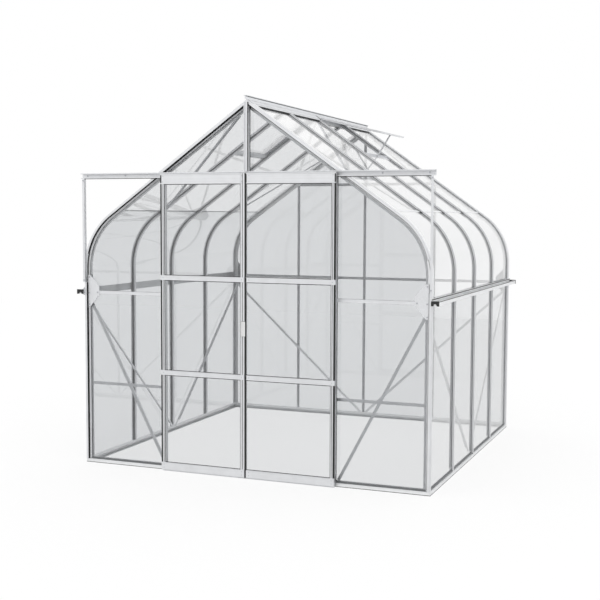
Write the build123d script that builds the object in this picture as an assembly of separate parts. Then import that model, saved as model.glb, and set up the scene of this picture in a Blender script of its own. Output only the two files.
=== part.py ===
from build123d import *
import os
from math import cos, radians, sin, tan

# A walk-in aluminium greenhouse with bent eaves, glazed all round, with two sliding door leaves
# in the front gable. All sizes are in millimetres. +X is right as seen from the front, -Y is the
# front, +Z is up, and the origin lies on the ground in the middle of the whole object's box.

# Bays and outline -----------------------------------------------------------------------------
gable_bay = 620.0          # bar to bar across the gables; the two middle bays hold the doors
side_bay = 606.0           # bar to bar along the side walls
side_bays = 4              # bays along each side wall
wall_margin = 22.0         # last gable bay line to the outer face of the side walls
gable_margin = 22.0        # last side bay line to the outer face of the gables
bend_height = 1386.0       # where the bars leave the wall line and start to bend
eave_radius = 470.0        # bend of the bars, at their outer face
roof_pitch = 35.4          # degrees
splice_height = 1235.0     # the wall bars and posts end here and the bent bars start

# Fits -----------------------------------------------------------------------------------------
seat_gap = 0.3             # between pieces that bear on each other
glass_edge_gap = 1.0       # pane edge to the web of a bar
running_gap = 5.2          # door leaf to everything it slides past

# Glass ----------------------------------------------------------------------------------------
glass_depth = 13.0         # outer face of walls, roof and gables to the panes
glass_thickness = 4.0
roof_pane_length = 1220.0  # ridge to the lap with the bent eave pane
lap_gap = 3.0              # roof pane to eave pane, under the lap strip
lap_strip_width = 16.0
lap_strip_thickness = 1.2
door_glass_thickness = 4.0

# Glazing bars ---------------------------------------------------------------------------------
cap_width = 22.0
cap_thickness = 2.5
web_thickness = 3.0
bar_depth = 34.0
root_width = 20.0
root_thickness = 2.5

# Gable bars and corner posts --------------------------------------------------------------------
rim_width = 12.5           # rim in the face of the gable, from the outer face of the wall or roof
flange_reach = 29.5        # stepped-back flange in front of the pane, from the same face
leg_thickness = 2.5
channel_depth = 32.0       # side leg, back from the face of the gable
channel_web_reach = 46.5   # web behind the pane, from the outer face of the wall or roof
pane_bite = 14.0           # a gable pane's edge, from the same face

# Base -----------------------------------------------------------------------------------------
sill_height = 40.0         # top of the upstand behind the panes
sill_ledge_height = 25.0   # top of the ledge that the panes stand on
sill_proud = 4.0           # sill face in front of the wall line
sill_wall = 3.0
sill_flange = 45.0
mitre_gap = 0.2

# Gutter ---------------------------------------------------------------------------------------
gutter_drop = 25.0         # splice down to the gutter's floor
gutter_back_low = 10.0     # back plate below the floor
gutter_back_high = 42.0    # back plate above the floor
gutter_lip_height = 27.0
gutter_width = 50.0
gutter_wall = 2.5
gutter_curl = 8.0
gutter_overhang = 28.0     # past the gable faces
gutter_cap_thickness = 5.0
gutter_cap_margin = 2.5
gutter_notch_height = 13.0 # notch in the foot of the cap, between its two lugs
gutter_notch_width = 24.0
gutter_notch_slant = 6.0   # the notch is this much narrower at its top, each side

# Ridge ----------------------------------------------------------------------------------------
ridge_web = 4.0
ridge_rise = 26.0          # above the meeting point of the two roof faces
ridge_drop = 45.0          # below it
ridge_flange = 45.0        # along each slope
ridge_flange_thickness = 2.5
ridge_bead_width = 18.0
ridge_bead_height = 4.0
ridge_overhang = 12.0

# Gable studs, rails and door frame ----------------------------------------------------------------
rail_height = 22.0
rail_thickness = 2.0
waist_drop = 14.0          # splice down to the rails level with the gutters
header_low = 2010.0
header_height = 40.0
header_thickness = 2.5
back_head_height = 2038.0  # the back gable's upper rail
knee_rail_height = 573.0   # inner rails low in the side panels
knee_rail_width = 20.0
knee_rail_thickness = 3.0

# Corner gussets ---------------------------------------------------------------------------------
gusset_thickness = 2.3
gusset_up = 120.0
gusset_down = 101.0
gusset_arm = 112.0         # wall line to the gusset's inner edge
gusset_arm_up = 41.0
gusset_arm_down = 13.0
gusset_edge = 22.0         # wall line to the gusset's outer edge
gusset_neck = 40.0         # wall line to where the slanted edges meet the post

# Braces -----------------------------------------------------------------------------------------
brace_width = 20.0
brace_thickness = 2.0
brace_leg = 10.0
brace_flat_end = 70.0      # the leg stops this far short of each end
brace_top_drop = 85.0      # splice down to the top of the wall braces
brace_foot_height = 40.0
brace_overrun = 20.0       # a brace's end past the web it is cut against
wall_brace_foot = 24.0     # brace foot from the middle bar
gable_brace_top = 38.0     # wall line to the gable brace's top end
gable_brace_foot = 642.0   # middle of the gable to the front brace's foot
back_brace_foot = 24.0     # centre stud to the back braces' feet
roof_brace_top = 30.0      # middle of the ridge to the roof brace's top end
roof_brace_run = 990.0     # middle of the ridge to the roof brace's foot

# Door track, struts and bottom guide ---------------------------------------------------------------
track_low = 2018.0
track_height = 37.0
track_depth = 25.0
track_wall = 2.5
track_lip = 5.0
track_half_length = 1278.0
strut_low = 1290.0
strut_width = 25.0
strut_thickness = 2.0
strut_inset = 1.0          # strut's outer edge from the end of the track
guide_thickness = 2.5
guide_width = 28.0
guide_fin_height = 20.0
guide_half_length = 629.0

# Door leaves ------------------------------------------------------------------------------------
leaf_half_gap = 6.0        # middle of the opening to each leaf
leaf_width = 629.0
leaf_depth = 16.5
leaf_bottom = 8.0
stile_width = 28.0
bottom_rail_height = 55.0
head_rail_low = 1974.0
head_rail_height = 71.0
head_rail_notch = 2.0      # between the left head rail and its meeting stile
mid_rail_heights = (670.0, 1323.0)
mid_rail_width = 34.0
roller_radius = 13.0
roller_width = 8.0
roller_axle_radius = 4.0
roller_inset = 60.0        # leaf edge to roller
handle_width = 27.0
handle_height = 100.0
handle_low = 962.0
handle_thickness = 3.0
pull_depth = 12.0
pull_thickness = 5.0

# Roof vents -------------------------------------------------------------------------------------
open_vent_bay = 2          # counted from the front, on the right slope
shut_vent_bay = 1          # on the left slope
vent_start = 2.0           # sash hinge edge from the ridge flange
sash_length = 502.0
sash_side_gap = 10.0       # bay line to the sash
sash_thickness = 12.0
sash_stile = 22.0
sash_bottom_rail = 40.0
vent_open_angle = 22.2     # the open sash against the roof
vent_sill_overlap = 58.0   # sash end to the upper edge of the bar under it
vent_sill_width = 32.0
vent_sill_thickness = 2.5
stay_width = 12.0
stay_thickness = 3.0
stay_reach = 18.0          # sash end to the stay's top
stay_length = 250.0        # of the folded stay under the shut vent

# Worked out from the above ---------------------------------------------------------------------
wall_line = 2 * gable_bay + wall_margin
gable_line = side_bays / 2 * side_bay + gable_margin
pitch = radians(roof_pitch)
glass_inner = glass_depth + glass_thickness
upstand_face = glass_inner + seat_gap
flange_front = glass_depth - seat_gap - leg_thickness
brace_seat = bar_depth + seat_gap
inner_web_face = gable_line - upstand_face - web_thickness
pane_foot = sill_ledge_height + seat_gap
web_foot = sill_height + seat_gap
gutter_floor_height = splice_height - gutter_drop
waist_height = splice_height - waist_drop
brace_top_height = splice_height - brace_top_drop
leaf_back = gable_line + seat_gap + track_depth + running_gap
leaf_front = leaf_back + leaf_depth
front_reach = leaf_front + seat_gap + handle_thickness + pull_depth
back_reach = gable_line + gutter_overhang + seat_gap + gutter_cap_thickness
centring_shift = (front_reach - back_reach) / 2
bar_places = [(i - side_bays / 2) * side_bay for i in range(1, side_bays)]
bay_edges = [(i - side_bays / 2) * side_bay for i in range(side_bays + 1)]


def block(x0, x1, y0, y1, z0, z1):
    """A box from its two corners."""
    return Pos((x0 + x1) / 2, (y0 + y1) / 2, (z0 + z1) / 2) * Box(x1 - x0, y1 - y0, z1 - z0)


def prism(outline, y0, y1):
    """A face drawn in X and Z, carried along Y."""
    return Pos(0, y1, 0) * extrude(Plane.XZ * outline, amount=y1 - y0)


def polygon(points):
    """A flat face with straight sides."""
    return make_face(Polyline(*points, close=True))


def other_side(solids):
    """The same pieces on the left."""
    return [mirror(solid, about=Plane.YZ) for solid in solids]


def other_end(solids):
    """The same pieces at the back."""
    return [mirror(solid, about=Plane.XZ) for solid in solids]


# The outline of the house, as places on a line that lies a given depth inside its outer face ------
def spring_point(depth):
    """Where the bend starts."""
    return (wall_line - depth, bend_height)


def bend_point(depth, angle):
    """A place on the bend, by the angle of its normal above level."""
    radius = eave_radius - depth
    return (wall_line - eave_radius + radius * cos(angle), bend_height + radius * sin(angle))


def slope_point(depth, run):
    """A place on the roof, by its distance up the slope from the end of the bend."""
    x, z = bend_point(depth, radians(90) - pitch)
    return (x - run * cos(pitch), z + run * sin(pitch))


def run_at(depth, x):
    """The distance up the slope at which the line reaches x."""
    return (bend_point(depth, radians(90) - pitch)[0] - x) / cos(pitch)


apex_height = slope_point(0, run_at(0, 0))[1]
ridge_face = ridge_web / 2 + seat_gap
glass_run = run_at(glass_inner, ridge_face)
lap_run = glass_run - roof_pane_length
vent_run = run_at(0, 0) - ridge_flange - vent_start
vent_sill_run = vent_run - sash_length + vent_sill_overlap


def band(outer, inner, low, run, y0, y1):
    """A strip that follows the wall, the bend and the roof, between two depths."""
    middle = (radians(90) - pitch) / 2
    top = radians(90) - pitch
    outline = [
        Line((wall_line - outer, low), spring_point(outer)),
        ThreePointArc(spring_point(outer), bend_point(outer, middle), bend_point(outer, top)),
        Line(bend_point(outer, top), slope_point(outer, run)),
        Line(slope_point(outer, run), slope_point(inner, run)),
        Line(slope_point(inner, run), bend_point(inner, top)),
        ThreePointArc(bend_point(inner, top), bend_point(inner, middle), spring_point(inner)),
        Line(spring_point(inner), (wall_line - inner, low)),
        Line((wall_line - inner, low), (wall_line - outer, low)),
    ]
    return prism(make_face(outline), y0, y1)


def slope_slab(outer, inner, run_low, run_high, y0, y1):
    """A flat piece of the roof between two depths and two distances up the slope."""
    corners = [
        slope_point(outer, run_low),
        slope_point(outer, run_high),
        slope_point(inner, run_high),
        slope_point(inner, run_low),
    ]
    return prism(polygon(corners), y0, y1)


def inside_outline(depth, y0, y1):
    """Everything inside the house's outline, a given depth in, from the ground up."""
    middle = (radians(90) - pitch) / 2
    top = radians(90) - pitch
    apex = (0, slope_point(depth, run_at(depth, 0))[1])
    foot = (wall_line - depth, 0)
    outline = [
        Line((0, 0), foot),
        Line(foot, spring_point(depth)),
        ThreePointArc(spring_point(depth), bend_point(depth, middle), bend_point(depth, top)),
        Line(bend_point(depth, top), apex),
        Line(apex, (0, 0)),
    ]
    half = prism(make_face(outline), y0, y1)
    return half + mirror(half, about=Plane.YZ)


def beside_ridge(solid):
    """Cuts the top of a right-hand bar upright, against the web of the ridge."""
    return solid & block(ridge_face, 2 * wall_line, -2 * gable_line, 2 * gable_line, 0, 2 * apex_height)


def between_gables(solid):
    """Cuts a brace square, just behind the straps of the gable braces."""
    reach = inner_web_face - brace_thickness - 2 * seat_gap
    return solid & block(-wall_line, wall_line, -reach, reach, 0, apex_height)


# Glazing bars -------------------------------------------------------------------------------------
def wall_bar(y):
    """A straight bar of a side wall: cap outside, web, and root inside, notched over the sill."""
    top = splice_height - seat_gap
    face = wall_line - cap_thickness
    middle = wall_line - glass_inner
    back = wall_line - bar_depth
    half_web = web_thickness / 2
    cap = block(face, wall_line, y - cap_width / 2, y + cap_width / 2, pane_foot, top)
    outer_web = block(middle, face, y - half_web, y + half_web, pane_foot, top)
    inner_web = block(back, middle, y - half_web, y + half_web, web_foot, top)
    root = block(back, back + root_thickness, y - root_width / 2, y + root_width / 2, web_foot, top)
    return cap + outer_web + inner_web + root


def roof_bar(y):
    """A bar bent round the eave and up to the ridge."""
    half_cap = cap_width / 2
    half_web = web_thickness / 2
    half_root = root_width / 2
    root_start = bar_depth - root_thickness
    low = splice_height
    run = run_at(0, 0)
    cap = band(0, cap_thickness, low, run, y - half_cap, y + half_cap)
    web = band(cap_thickness, root_start, low, run, y - half_web, y + half_web)
    root = band(root_start, bar_depth, low, run, y - half_root, y + half_root)
    return beside_ridge(cap + web + root)


def gable_section():
    """Rim, step and flange of a gable bar, its side leg, and its web behind the pane.

    Each is an outer and an inner distance from the outer face of the wall or roof, then a front
    and a back distance from the face of the gable.
    """
    step = rim_width - leg_thickness
    return [
        (0, rim_width, 0, leg_thickness),
        (step, rim_width, leg_thickness, flange_front),
        (step, flange_reach, flange_front, flange_front + leg_thickness),
        (0, cap_thickness, leg_thickness, channel_depth),
        (cap_thickness, channel_web_reach, upstand_face, upstand_face + web_thickness),
    ]


def gable_bar():
    """The front gable's right bar, bent like the roof bars."""
    face = -gable_line
    run = run_at(channel_web_reach, 0)
    strips = [
        band(outer, inner, splice_height, run, face + front, face + back)
        for outer, inner, front, back in gable_section()
    ]
    return beside_ridge(sum(strips[1:], strips[0]))


def corner_post():
    """The front right post, with the gable bar's section, its web notched over the sill."""
    face = -gable_line
    top = splice_height - seat_gap
    strips = []
    for outer, inner, front, back in gable_section():
        low = web_foot if front == upstand_face else pane_foot
        strips.append(block(wall_line - inner, wall_line - outer, face + front, face + back, low, top))
    return sum(strips[1:], strips[0])


# Base ---------------------------------------------------------------------------------------------
def sill_plate(outer, inner, z0, z1, half_long, half_wide):
    """One mitred plate of a sill, long side along X at the front, measured in from the sill's face."""
    far = -(half_wide - outer)
    near = -(half_wide - inner)
    long_far = half_long - outer - mitre_gap
    long_near = half_long - inner - mitre_gap
    corners = [(-long_far, far), (long_far, far), (long_near, near), (-long_near, near)]
    return Pos(0, 0, z0) * extrude(polygon(corners), amount=z1 - z0)


def sill(half_long, half_wide):
    """A base sill: face, foot flange, the ledge under the panes and the upstand behind them."""
    upstand = sill_proud + upstand_face
    ledge_end = upstand + sill_wall
    ledge_low = sill_ledge_height - sill_wall
    face = sill_plate(0, sill_wall, 0, sill_ledge_height, half_long, half_wide)
    foot = sill_plate(sill_wall, sill_flange, 0, sill_wall, half_long, half_wide)
    ledge = sill_plate(sill_wall, ledge_end, ledge_low, sill_ledge_height, half_long, half_wide)
    back = sill_plate(upstand, ledge_end, sill_ledge_height, sill_height, half_long, half_wide)
    return face + foot + ledge + back


# Gutter and ridge ---------------------------------------------------------------------------------
def gutter():
    """The right gutter: back plate, floor and curled lip."""
    reach = gable_line + gutter_overhang
    back = wall_line + seat_gap
    low = gutter_floor_height
    lip = wall_line + gutter_width
    top = low + gutter_lip_height
    plate = block(back, back + gutter_wall, -reach, reach, low - gutter_back_low, low + gutter_back_high)
    floor = block(back + gutter_wall, lip, -reach, reach, low, low + gutter_wall)
    front = block(lip - gutter_wall, lip, -reach, reach, low + gutter_wall, top)
    curl = block(lip - gutter_curl, lip - gutter_wall, -reach, reach, top - gutter_wall, top)
    return plate + floor + front + curl


def gutter_cap():
    """The plug that shuts the right gutter's front end, notched at its foot."""
    end = -(gable_line + gutter_overhang + seat_gap)
    outer = wall_line + gutter_width + gutter_cap_margin
    low = gutter_floor_height - gutter_cap_margin
    top = gutter_floor_height + gutter_lip_height + gutter_cap_margin
    inner = wall_line + seat_gap
    plate = block(inner, outer, end - gutter_cap_thickness, end, low, top)
    plate = fillet(plate.edges().filter_by(Axis.Y).sort_by(Axis.Z)[-2:], gutter_cap_margin)
    middle = (inner + outer) / 2
    half = gutter_notch_width / 2
    notch_top = low + gutter_notch_height
    corners = [
        (middle - half, low),
        (middle - half + gutter_notch_slant, notch_top),
        (middle + half - gutter_notch_slant, notch_top),
        (middle + half, low),
    ]
    return plate - prism(polygon(corners), end - gutter_cap_thickness, end)


def ridge():
    """The ridge bar: web, bead on top and a flange over each slope."""
    reach = gable_line + ridge_overhang
    half = ridge_web / 2
    top = apex_height + ridge_rise
    web = block(-half, half, -reach, reach, apex_height - ridge_drop, top)
    half_bead = ridge_bead_width / 2
    bead = block(-half_bead, half_bead, -reach, reach, top - ridge_bead_height, top)
    low = -(seat_gap + ridge_flange_thickness)
    end_run = run_at(0, 0) - ridge_flange
    flange = slope_slab(low, -seat_gap, end_run, run_at(low, 0), -reach, reach)
    return web + bead + flange + mirror(flange, about=Plane.YZ)


# Gables -------------------------------------------------------------------------------------------
def under_roof(solid, reach):
    """Cuts part of a stud to the slanted underside of the gable bars, which reach this far in."""
    return solid & inside_outline(reach + seat_gap, -gable_line, 0)


def stud(x, width, low):
    """A stud of the front gable: cap in front and a web behind, up to the gable bar."""
    front = -gable_line
    half_web = web_thickness / 2
    high = apex_height - ridge_drop - seat_gap
    cap = block(x - width / 2, x + width / 2, front, front + leg_thickness, low, high)
    middle = front + glass_inner
    outer_web = block(x - half_web, x + half_web, front + leg_thickness, middle, low, high)
    inner_low = max(low, web_foot)
    inner_web = block(x - half_web, x + half_web, middle, -inner_web_face, inner_low, high)
    web = outer_web + inner_web
    return under_roof(cap, flange_reach) + under_roof(web, channel_web_reach)


def gable_rail(x0, x1, height):
    """A level rail of the front gable: a face strip and a web between the panes."""
    front = -gable_line
    half = rail_height / 2
    half_web = web_thickness / 2
    face = block(x0, x1, front, front + rail_thickness, height - half, height + half)
    web = block(x0, x1, front + rail_thickness, front + glass_inner, height - half_web, height + half_web)
    return face + web


def header(half_span):
    """The beam over the doors, an angle."""
    front = -gable_line
    high = header_low + header_height
    face = block(-half_span, half_span, front, front + header_thickness, header_low, high)
    inner = front + header_thickness
    back = front + glass_inner
    shelf = block(-half_span, half_span, inner, back, high - header_thickness, high)
    return under_roof(face, flange_reach) + under_roof(shelf, channel_web_reach)


def knee_rail():
    """A flat rail behind the pane of the right side panel, from the jamb's web to the post."""
    left = gable_bay + web_thickness / 2 + seat_gap
    right = wall_line - channel_web_reach - seat_gap
    outer = -gable_line + upstand_face
    inner = outer + knee_rail_thickness
    half = knee_rail_width / 2
    return block(left, right, outer, inner, knee_rail_height - half, knee_rail_height + half)


def gusset():
    """The plate over the joint of post, gable bar and waist rail, front right."""
    front = -(gable_line + seat_gap)
    outline = [
        (wall_line - gusset_edge, waist_height - gusset_down),
        (wall_line - gusset_edge, waist_height + gusset_up),
        (wall_line - gusset_neck, waist_height + gusset_up),
        (wall_line - gusset_arm, waist_height + gusset_arm_up),
        (wall_line - gusset_arm, waist_height - gusset_arm_down),
        (wall_line - gusset_neck, waist_height - gusset_down),
    ]
    return prism(polygon(outline), front - gusset_thickness, front)


# Braces -------------------------------------------------------------------------------------------
def brace(start, end, outward):
    """A strap with a stiffening leg along one edge, its back face on the line from start to end."""
    start = Vector(*start)
    end = Vector(*end)
    length = (end - start).length
    place = Plane(origin=(start + end) / 2, x_dir=end - start, z_dir=outward)
    strap = Pos(0, 0, -brace_thickness / 2) * Box(length, brace_width, brace_thickness)
    leg_length = length - 2 * brace_flat_end
    leg_place = Pos(0, (brace_width - brace_thickness) / 2, -brace_thickness - brace_leg / 2)
    leg = leg_place * Box(leg_length, brace_thickness, brace_leg)
    return place * (strap + leg)


def wall_braces():
    """The two braces of the right wall, a V on the foot of the middle bar."""
    x = wall_line - brace_seat
    top = -(inner_web_face + brace_overrun)
    start = (x, -wall_brace_foot, brace_foot_height)
    front = between_gables(brace(start, (x, top, brace_top_height), (1, 0, 0)))
    return [front, mirror(front, about=Plane.XZ)]


def gable_brace(foot, top):
    """A brace behind the right half of the front gable."""
    y = -(inner_web_face - seat_gap)
    return brace((foot, y, brace_foot_height), (top, y, brace_top_height), (0, -1, 0))


def roof_brace():
    """The brace of the right slope's front bay, from the ridge down to the first bar."""
    top_x, top_z = slope_point(brace_seat, run_at(brace_seat, roof_brace_top))
    foot_x, foot_z = slope_point(brace_seat, run_at(brace_seat, roof_brace_run))
    top_y = -(inner_web_face + brace_overrun)
    outward = (sin(pitch), 0, cos(pitch))
    return between_gables(brace((top_x, top_y, top_z), (foot_x, bar_places[0], foot_z), outward))


# Glass --------------------------------------------------------------------------------------------
def bay_span(index):
    """The width of a pane in a side bay, clear of the webs on either side."""
    clear = web_thickness / 2 + glass_edge_gap
    low = bay_edges[index] + clear
    high = bay_edges[index + 1] - clear
    end = inner_web_face - glass_edge_gap
    if index == 0:
        low = -end
    if index == side_bays - 1:
        high = end
    return low, high


def wall_pane(index):
    """A pane of the right wall, from the foot of the sill to the gutter."""
    low, high = bay_span(index)
    x = wall_line - glass_inner
    return block(x, wall_line - glass_depth, low, high, pane_foot, splice_height - glass_edge_gap)


def eave_pane(index):
    """A bent pane of the right side."""
    low, high = bay_span(index)
    return band(glass_depth, glass_inner, splice_height, lap_run - lap_gap, low, high)


def roof_pane(index, top_run):
    """A flat pane of the right slope."""
    low, high = bay_span(index)
    return slope_slab(glass_depth, glass_inner, lap_run, top_run, low, high)


def lap_strip(index):
    """The strip over the joint of roof pane and eave pane, between two webs."""
    low, high = bay_span(index)
    middle = lap_run - lap_gap / 2
    half = lap_strip_width / 2
    inner = glass_depth - seat_gap
    return slope_slab(inner - lap_strip_thickness, inner, middle - half, middle + half, low, high)


def gable_pane(x0, x1, z0, z1):
    """A pane of the front gable, trimmed to the outline where it meets the bars."""
    outer = -gable_line + glass_depth
    inner = -gable_line + glass_inner
    return block(x0, x1, outer, inner, z0, z1) & inside_outline(pane_bite, -gable_line, 0)


def gable_glass(stud_places, glazed_middle):
    """Panes between neighbouring studs, below and above the waist rail; the middle bays may be open."""
    clear = web_thickness / 2 + glass_edge_gap
    top = apex_height
    panes = []
    edges = [-wall_line] + list(stud_places) + [wall_line]
    for left, right in zip(edges[:-1], edges[1:]):
        x0 = left + clear
        x1 = right - clear
        outer_panel = left == edges[0] or right == edges[-1]
        if outer_panel:
            panes.append(gable_pane(x0, x1, pane_foot, waist_height - clear))
            panes.append(gable_pane(x0, x1, waist_height + clear, top))
            continue
        if glazed_middle:
            panes.append(gable_pane(x0, x1, pane_foot, waist_height - clear))
            panes.append(gable_pane(x0, x1, waist_height + clear, back_head_height - clear))
    return panes


def gable_heads(low):
    """The two panes over the middle bays, either side of the centre stud."""
    clear = web_thickness / 2 + glass_edge_gap
    right = gable_pane(clear, gable_bay - clear, low, apex_height)
    return [right, mirror(right, about=Plane.YZ)]


# Door track and leaves ------------------------------------------------------------------------------
def track():
    """The rail that the doors hang on, a channel open to the front."""
    back = -(gable_line + seat_gap)
    front = back - track_depth
    high = track_low + track_height
    half = track_half_length
    plate = block(-half, half, back - track_wall, back, track_low, high)
    roof = block(-half, half, front, back - track_wall, high - track_wall, high)
    shelf = block(-half, half, front, back - track_wall, track_low, track_low + track_wall)
    upper = block(-half, half, front, front + track_wall, high - track_wall - track_lip, high - track_wall)
    lower = block(-half, half, front, front + track_wall, track_low + track_wall, track_low + track_lip)
    return plate + roof + shelf + upper + lower


def track_strut():
    """The right strut, an angle between the end of the track and the corner."""
    back = -(gable_line + seat_gap)
    front = back - track_depth
    outer = track_half_length - strut_inset
    inner = outer - strut_width
    high = track_low - seat_gap
    face = block(inner, outer, front, front + strut_thickness, strut_low, high)
    leg = block(inner, inner + strut_thickness, front + strut_thickness, back, strut_low, high)
    return face + leg


def door_guide():
    """The angle on the front sill that keeps the leaves from swinging."""
    back = -(gable_line + sill_proud + seat_gap)
    half = guide_half_length
    flange = block(-half, half, back - guide_width, back, 0, guide_thickness)
    middle = back - guide_width / 2
    fin = block(-half, half, middle, middle + guide_thickness, guide_thickness, guide_fin_height)
    return flange + fin


def leaf_spans():
    """The heights between the cross rails of a leaf."""
    lows = [leaf_bottom + bottom_rail_height] + [z + mid_rail_width for z in mid_rail_heights]
    highs = list(mid_rail_heights) + [head_rail_low]
    return list(zip(lows, highs))


def leaf_frame(notch):
    """The right leaf's frame; its head rail may have a notch beside the meeting stile."""
    near = leaf_half_gap
    far = near + leaf_width
    front = -leaf_front
    back = -leaf_back
    top = head_rail_low + head_rail_height
    frame = block(near, far, front, back, leaf_bottom, leaf_bottom + bottom_rail_height)
    frame += block(near, near + stile_width, front, back, leaf_bottom, top)
    frame += block(far - stile_width, far, front, back, leaf_bottom, top)
    for low in mid_rail_heights:
        frame += block(near, far, front, back, low, low + mid_rail_width)
    frame += block(near, far, front, back, head_rail_low, top)
    if notch:
        notch_low = top - stile_width
        frame -= block(near + stile_width, near + stile_width + notch, front, back, notch_low, top)
    return frame


def leaf_glass():
    """The right leaf's panes, held between its stiles and rails."""
    middle = -(leaf_front + leaf_back) / 2
    half = door_glass_thickness / 2
    x0 = leaf_half_gap + stile_width + seat_gap
    x1 = leaf_half_gap + leaf_width - stile_width - seat_gap
    spans = leaf_spans()
    return [block(x0, x1, middle - half, middle + half, low + seat_gap, high - seat_gap) for low, high in spans]


def roller(x):
    """A roller on its axle, behind the head rail and inside the track."""
    height = track_low + track_wall + seat_gap + roller_radius
    wheel_middle = -(gable_line + seat_gap + track_depth / 2)
    axle_end = -leaf_back + seat_gap
    along_y = Plane.XZ
    wheel = Pos(x, wheel_middle, height) * (along_y * Cylinder(roller_radius, roller_width))
    axle_length = wheel_middle - axle_end
    axle = Cylinder(roller_axle_radius, axle_length)
    return wheel + Pos(x, (wheel_middle + axle_end) / 2, height) * (along_y * axle)


def leaf_rollers():
    """The right leaf's two rollers."""
    near = leaf_half_gap + roller_inset
    far = leaf_half_gap + leaf_width - roller_inset
    return [roller(near), roller(far)]


def handle():
    """The pull on the left leaf's meeting stile."""
    right = leaf_half_gap - running_gap
    left = right - handle_width
    back = -(leaf_front + seat_gap)
    top = handle_low + handle_height
    plate = block(left, right, back - handle_thickness, back, handle_low, top)
    front = back - handle_thickness
    grip = block(left, left + pull_thickness, front - pull_depth, front, handle_low, top)
    return plate + grip


# Roof vents -----------------------------------------------------------------------------------------
def sash_parts(y0):
    """The right slope's shut sash and its pane, in the bay that starts at y0."""
    outer = -(seat_gap + sash_thickness)
    inner = -seat_gap
    low = y0 + sash_side_gap
    high = y0 + side_bay - sash_side_gap
    top = vent_run
    bottom = vent_run - sash_length
    frame = slope_slab(outer, inner, bottom, top, low, high)
    hole_low = bottom + sash_bottom_rail
    hole_high = top - sash_stile
    past = sash_thickness
    hole = slope_slab(outer - past, inner + past, hole_low, hole_high, low + sash_stile, high - sash_stile)
    middle = (outer + inner) / 2
    half = glass_thickness / 2
    pane = slope_slab(
        middle - half,
        middle + half,
        hole_low + seat_gap,
        hole_high - seat_gap,
        low + sash_stile + seat_gap,
        high - sash_stile - seat_gap,
    )
    return frame - hole, pane


def opened(solid):
    """Swings a right-slope sash up about its hinge edge."""
    x, z = slope_point(-seat_gap, vent_run)
    return Pos(x, 0, z) * (Rot(0, -vent_open_angle, 0) * (Pos(-x, 0, -z) * solid))


def vent_sill(y0):
    """The bar across a bay under the sash's free edge, right slope."""
    clear = web_thickness / 2 + glass_edge_gap
    cap_clear = cap_width / 2 + seat_gap
    inner = glass_depth + vent_sill_thickness
    low_run = vent_sill_run - vent_sill_width
    plate = slope_slab(glass_depth, inner, low_run, vent_sill_run, y0 + clear, y0 + side_bay - clear)
    lip_run = vent_sill_run - vent_sill_thickness
    lip = slope_slab(0, glass_depth, lip_run, vent_sill_run, y0 + cap_clear, y0 + side_bay - cap_clear)
    return plate + lip


def open_stay(y0):
    """The flat stay that props the open sash, right slope."""
    y = y0 + side_bay / 2
    hinge_x, hinge_z = slope_point(-seat_gap, vent_run)
    reach = sash_length - stay_reach
    swing = pitch - radians(vent_open_angle)
    top_x = hinge_x + reach * cos(swing) - seat_gap * sin(swing)
    top_z = hinge_z - reach * sin(swing) - seat_gap * cos(swing)
    foot_run = vent_sill_run - vent_sill_thickness - glass_edge_gap
    foot_x, foot_z = slope_point(glass_depth - seat_gap, foot_run)
    outline = [
        (foot_x, foot_z),
        (foot_x + stay_width * cos(pitch), foot_z - stay_width * sin(pitch)),
        (top_x, top_z),
        (top_x - stay_width * cos(swing), top_z + stay_width * sin(swing)),
    ]
    return prism(polygon(outline), y - stay_thickness / 2, y + stay_thickness / 2)


def folded_stay(y0):
    """The stay of the shut vent, lying along its sill, right slope."""
    y = y0 + side_bay / 2
    outer = glass_depth + vent_sill_thickness + seat_gap
    low_run = vent_sill_run - stay_width
    half = stay_length / 2
    return slope_slab(outer, outer + stay_thickness, low_run, vent_sill_run, y - half, y + half)


# Nodes ----------------------------------------------------------------------------------------------
def save(name, solids):
    """Writes one node, centred in Y on the whole object's box."""
    moved = [Pos(0, centring_shift, 0) * solid for solid in solids]
    export_step(Compound(children=moved), f"parts/{name}.step")


def save_base():
    """The four mitred sills."""
    half_x = wall_line + sill_proud
    half_y = gable_line + sill_proud
    front = sill(half_x, half_y)
    side = Rot(0, 0, 90) * sill(half_y, half_x)
    save("front_sill", [front])
    save("back_sill", other_end([front]))
    save("right_sill", [side])
    save("left_sill", other_side([side]))


def save_bars():
    """Corner posts, gable bars, wall bars and roof bars."""
    post = [corner_post()]
    posts = post + other_side(post)
    save("corner_posts", posts + other_end(posts))
    bar = [gable_bar()]
    bars = bar + other_side(bar)
    save("front_gable_bars", bars)
    save("back_gable_bars", other_end(bars))
    wall_bars = [wall_bar(y) for y in bar_places]
    save("right_wall_bars", wall_bars)
    save("left_wall_bars", other_side(wall_bars))
    roof_bars = [roof_bar(y) for y in bar_places]
    save("right_roof_bars", roof_bars)
    save("left_roof_bars", other_side(roof_bars))


def save_eaves_and_ridge():
    """Gutters with their caps, and the ridge."""
    right = [gutter()]
    save("right_gutter", right)
    save("left_gutter", other_side(right))
    cap = [gutter_cap()]
    caps = cap + other_side(cap)
    save("gutter_caps", caps + other_end(caps))
    save("ridge", [ridge()])


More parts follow.
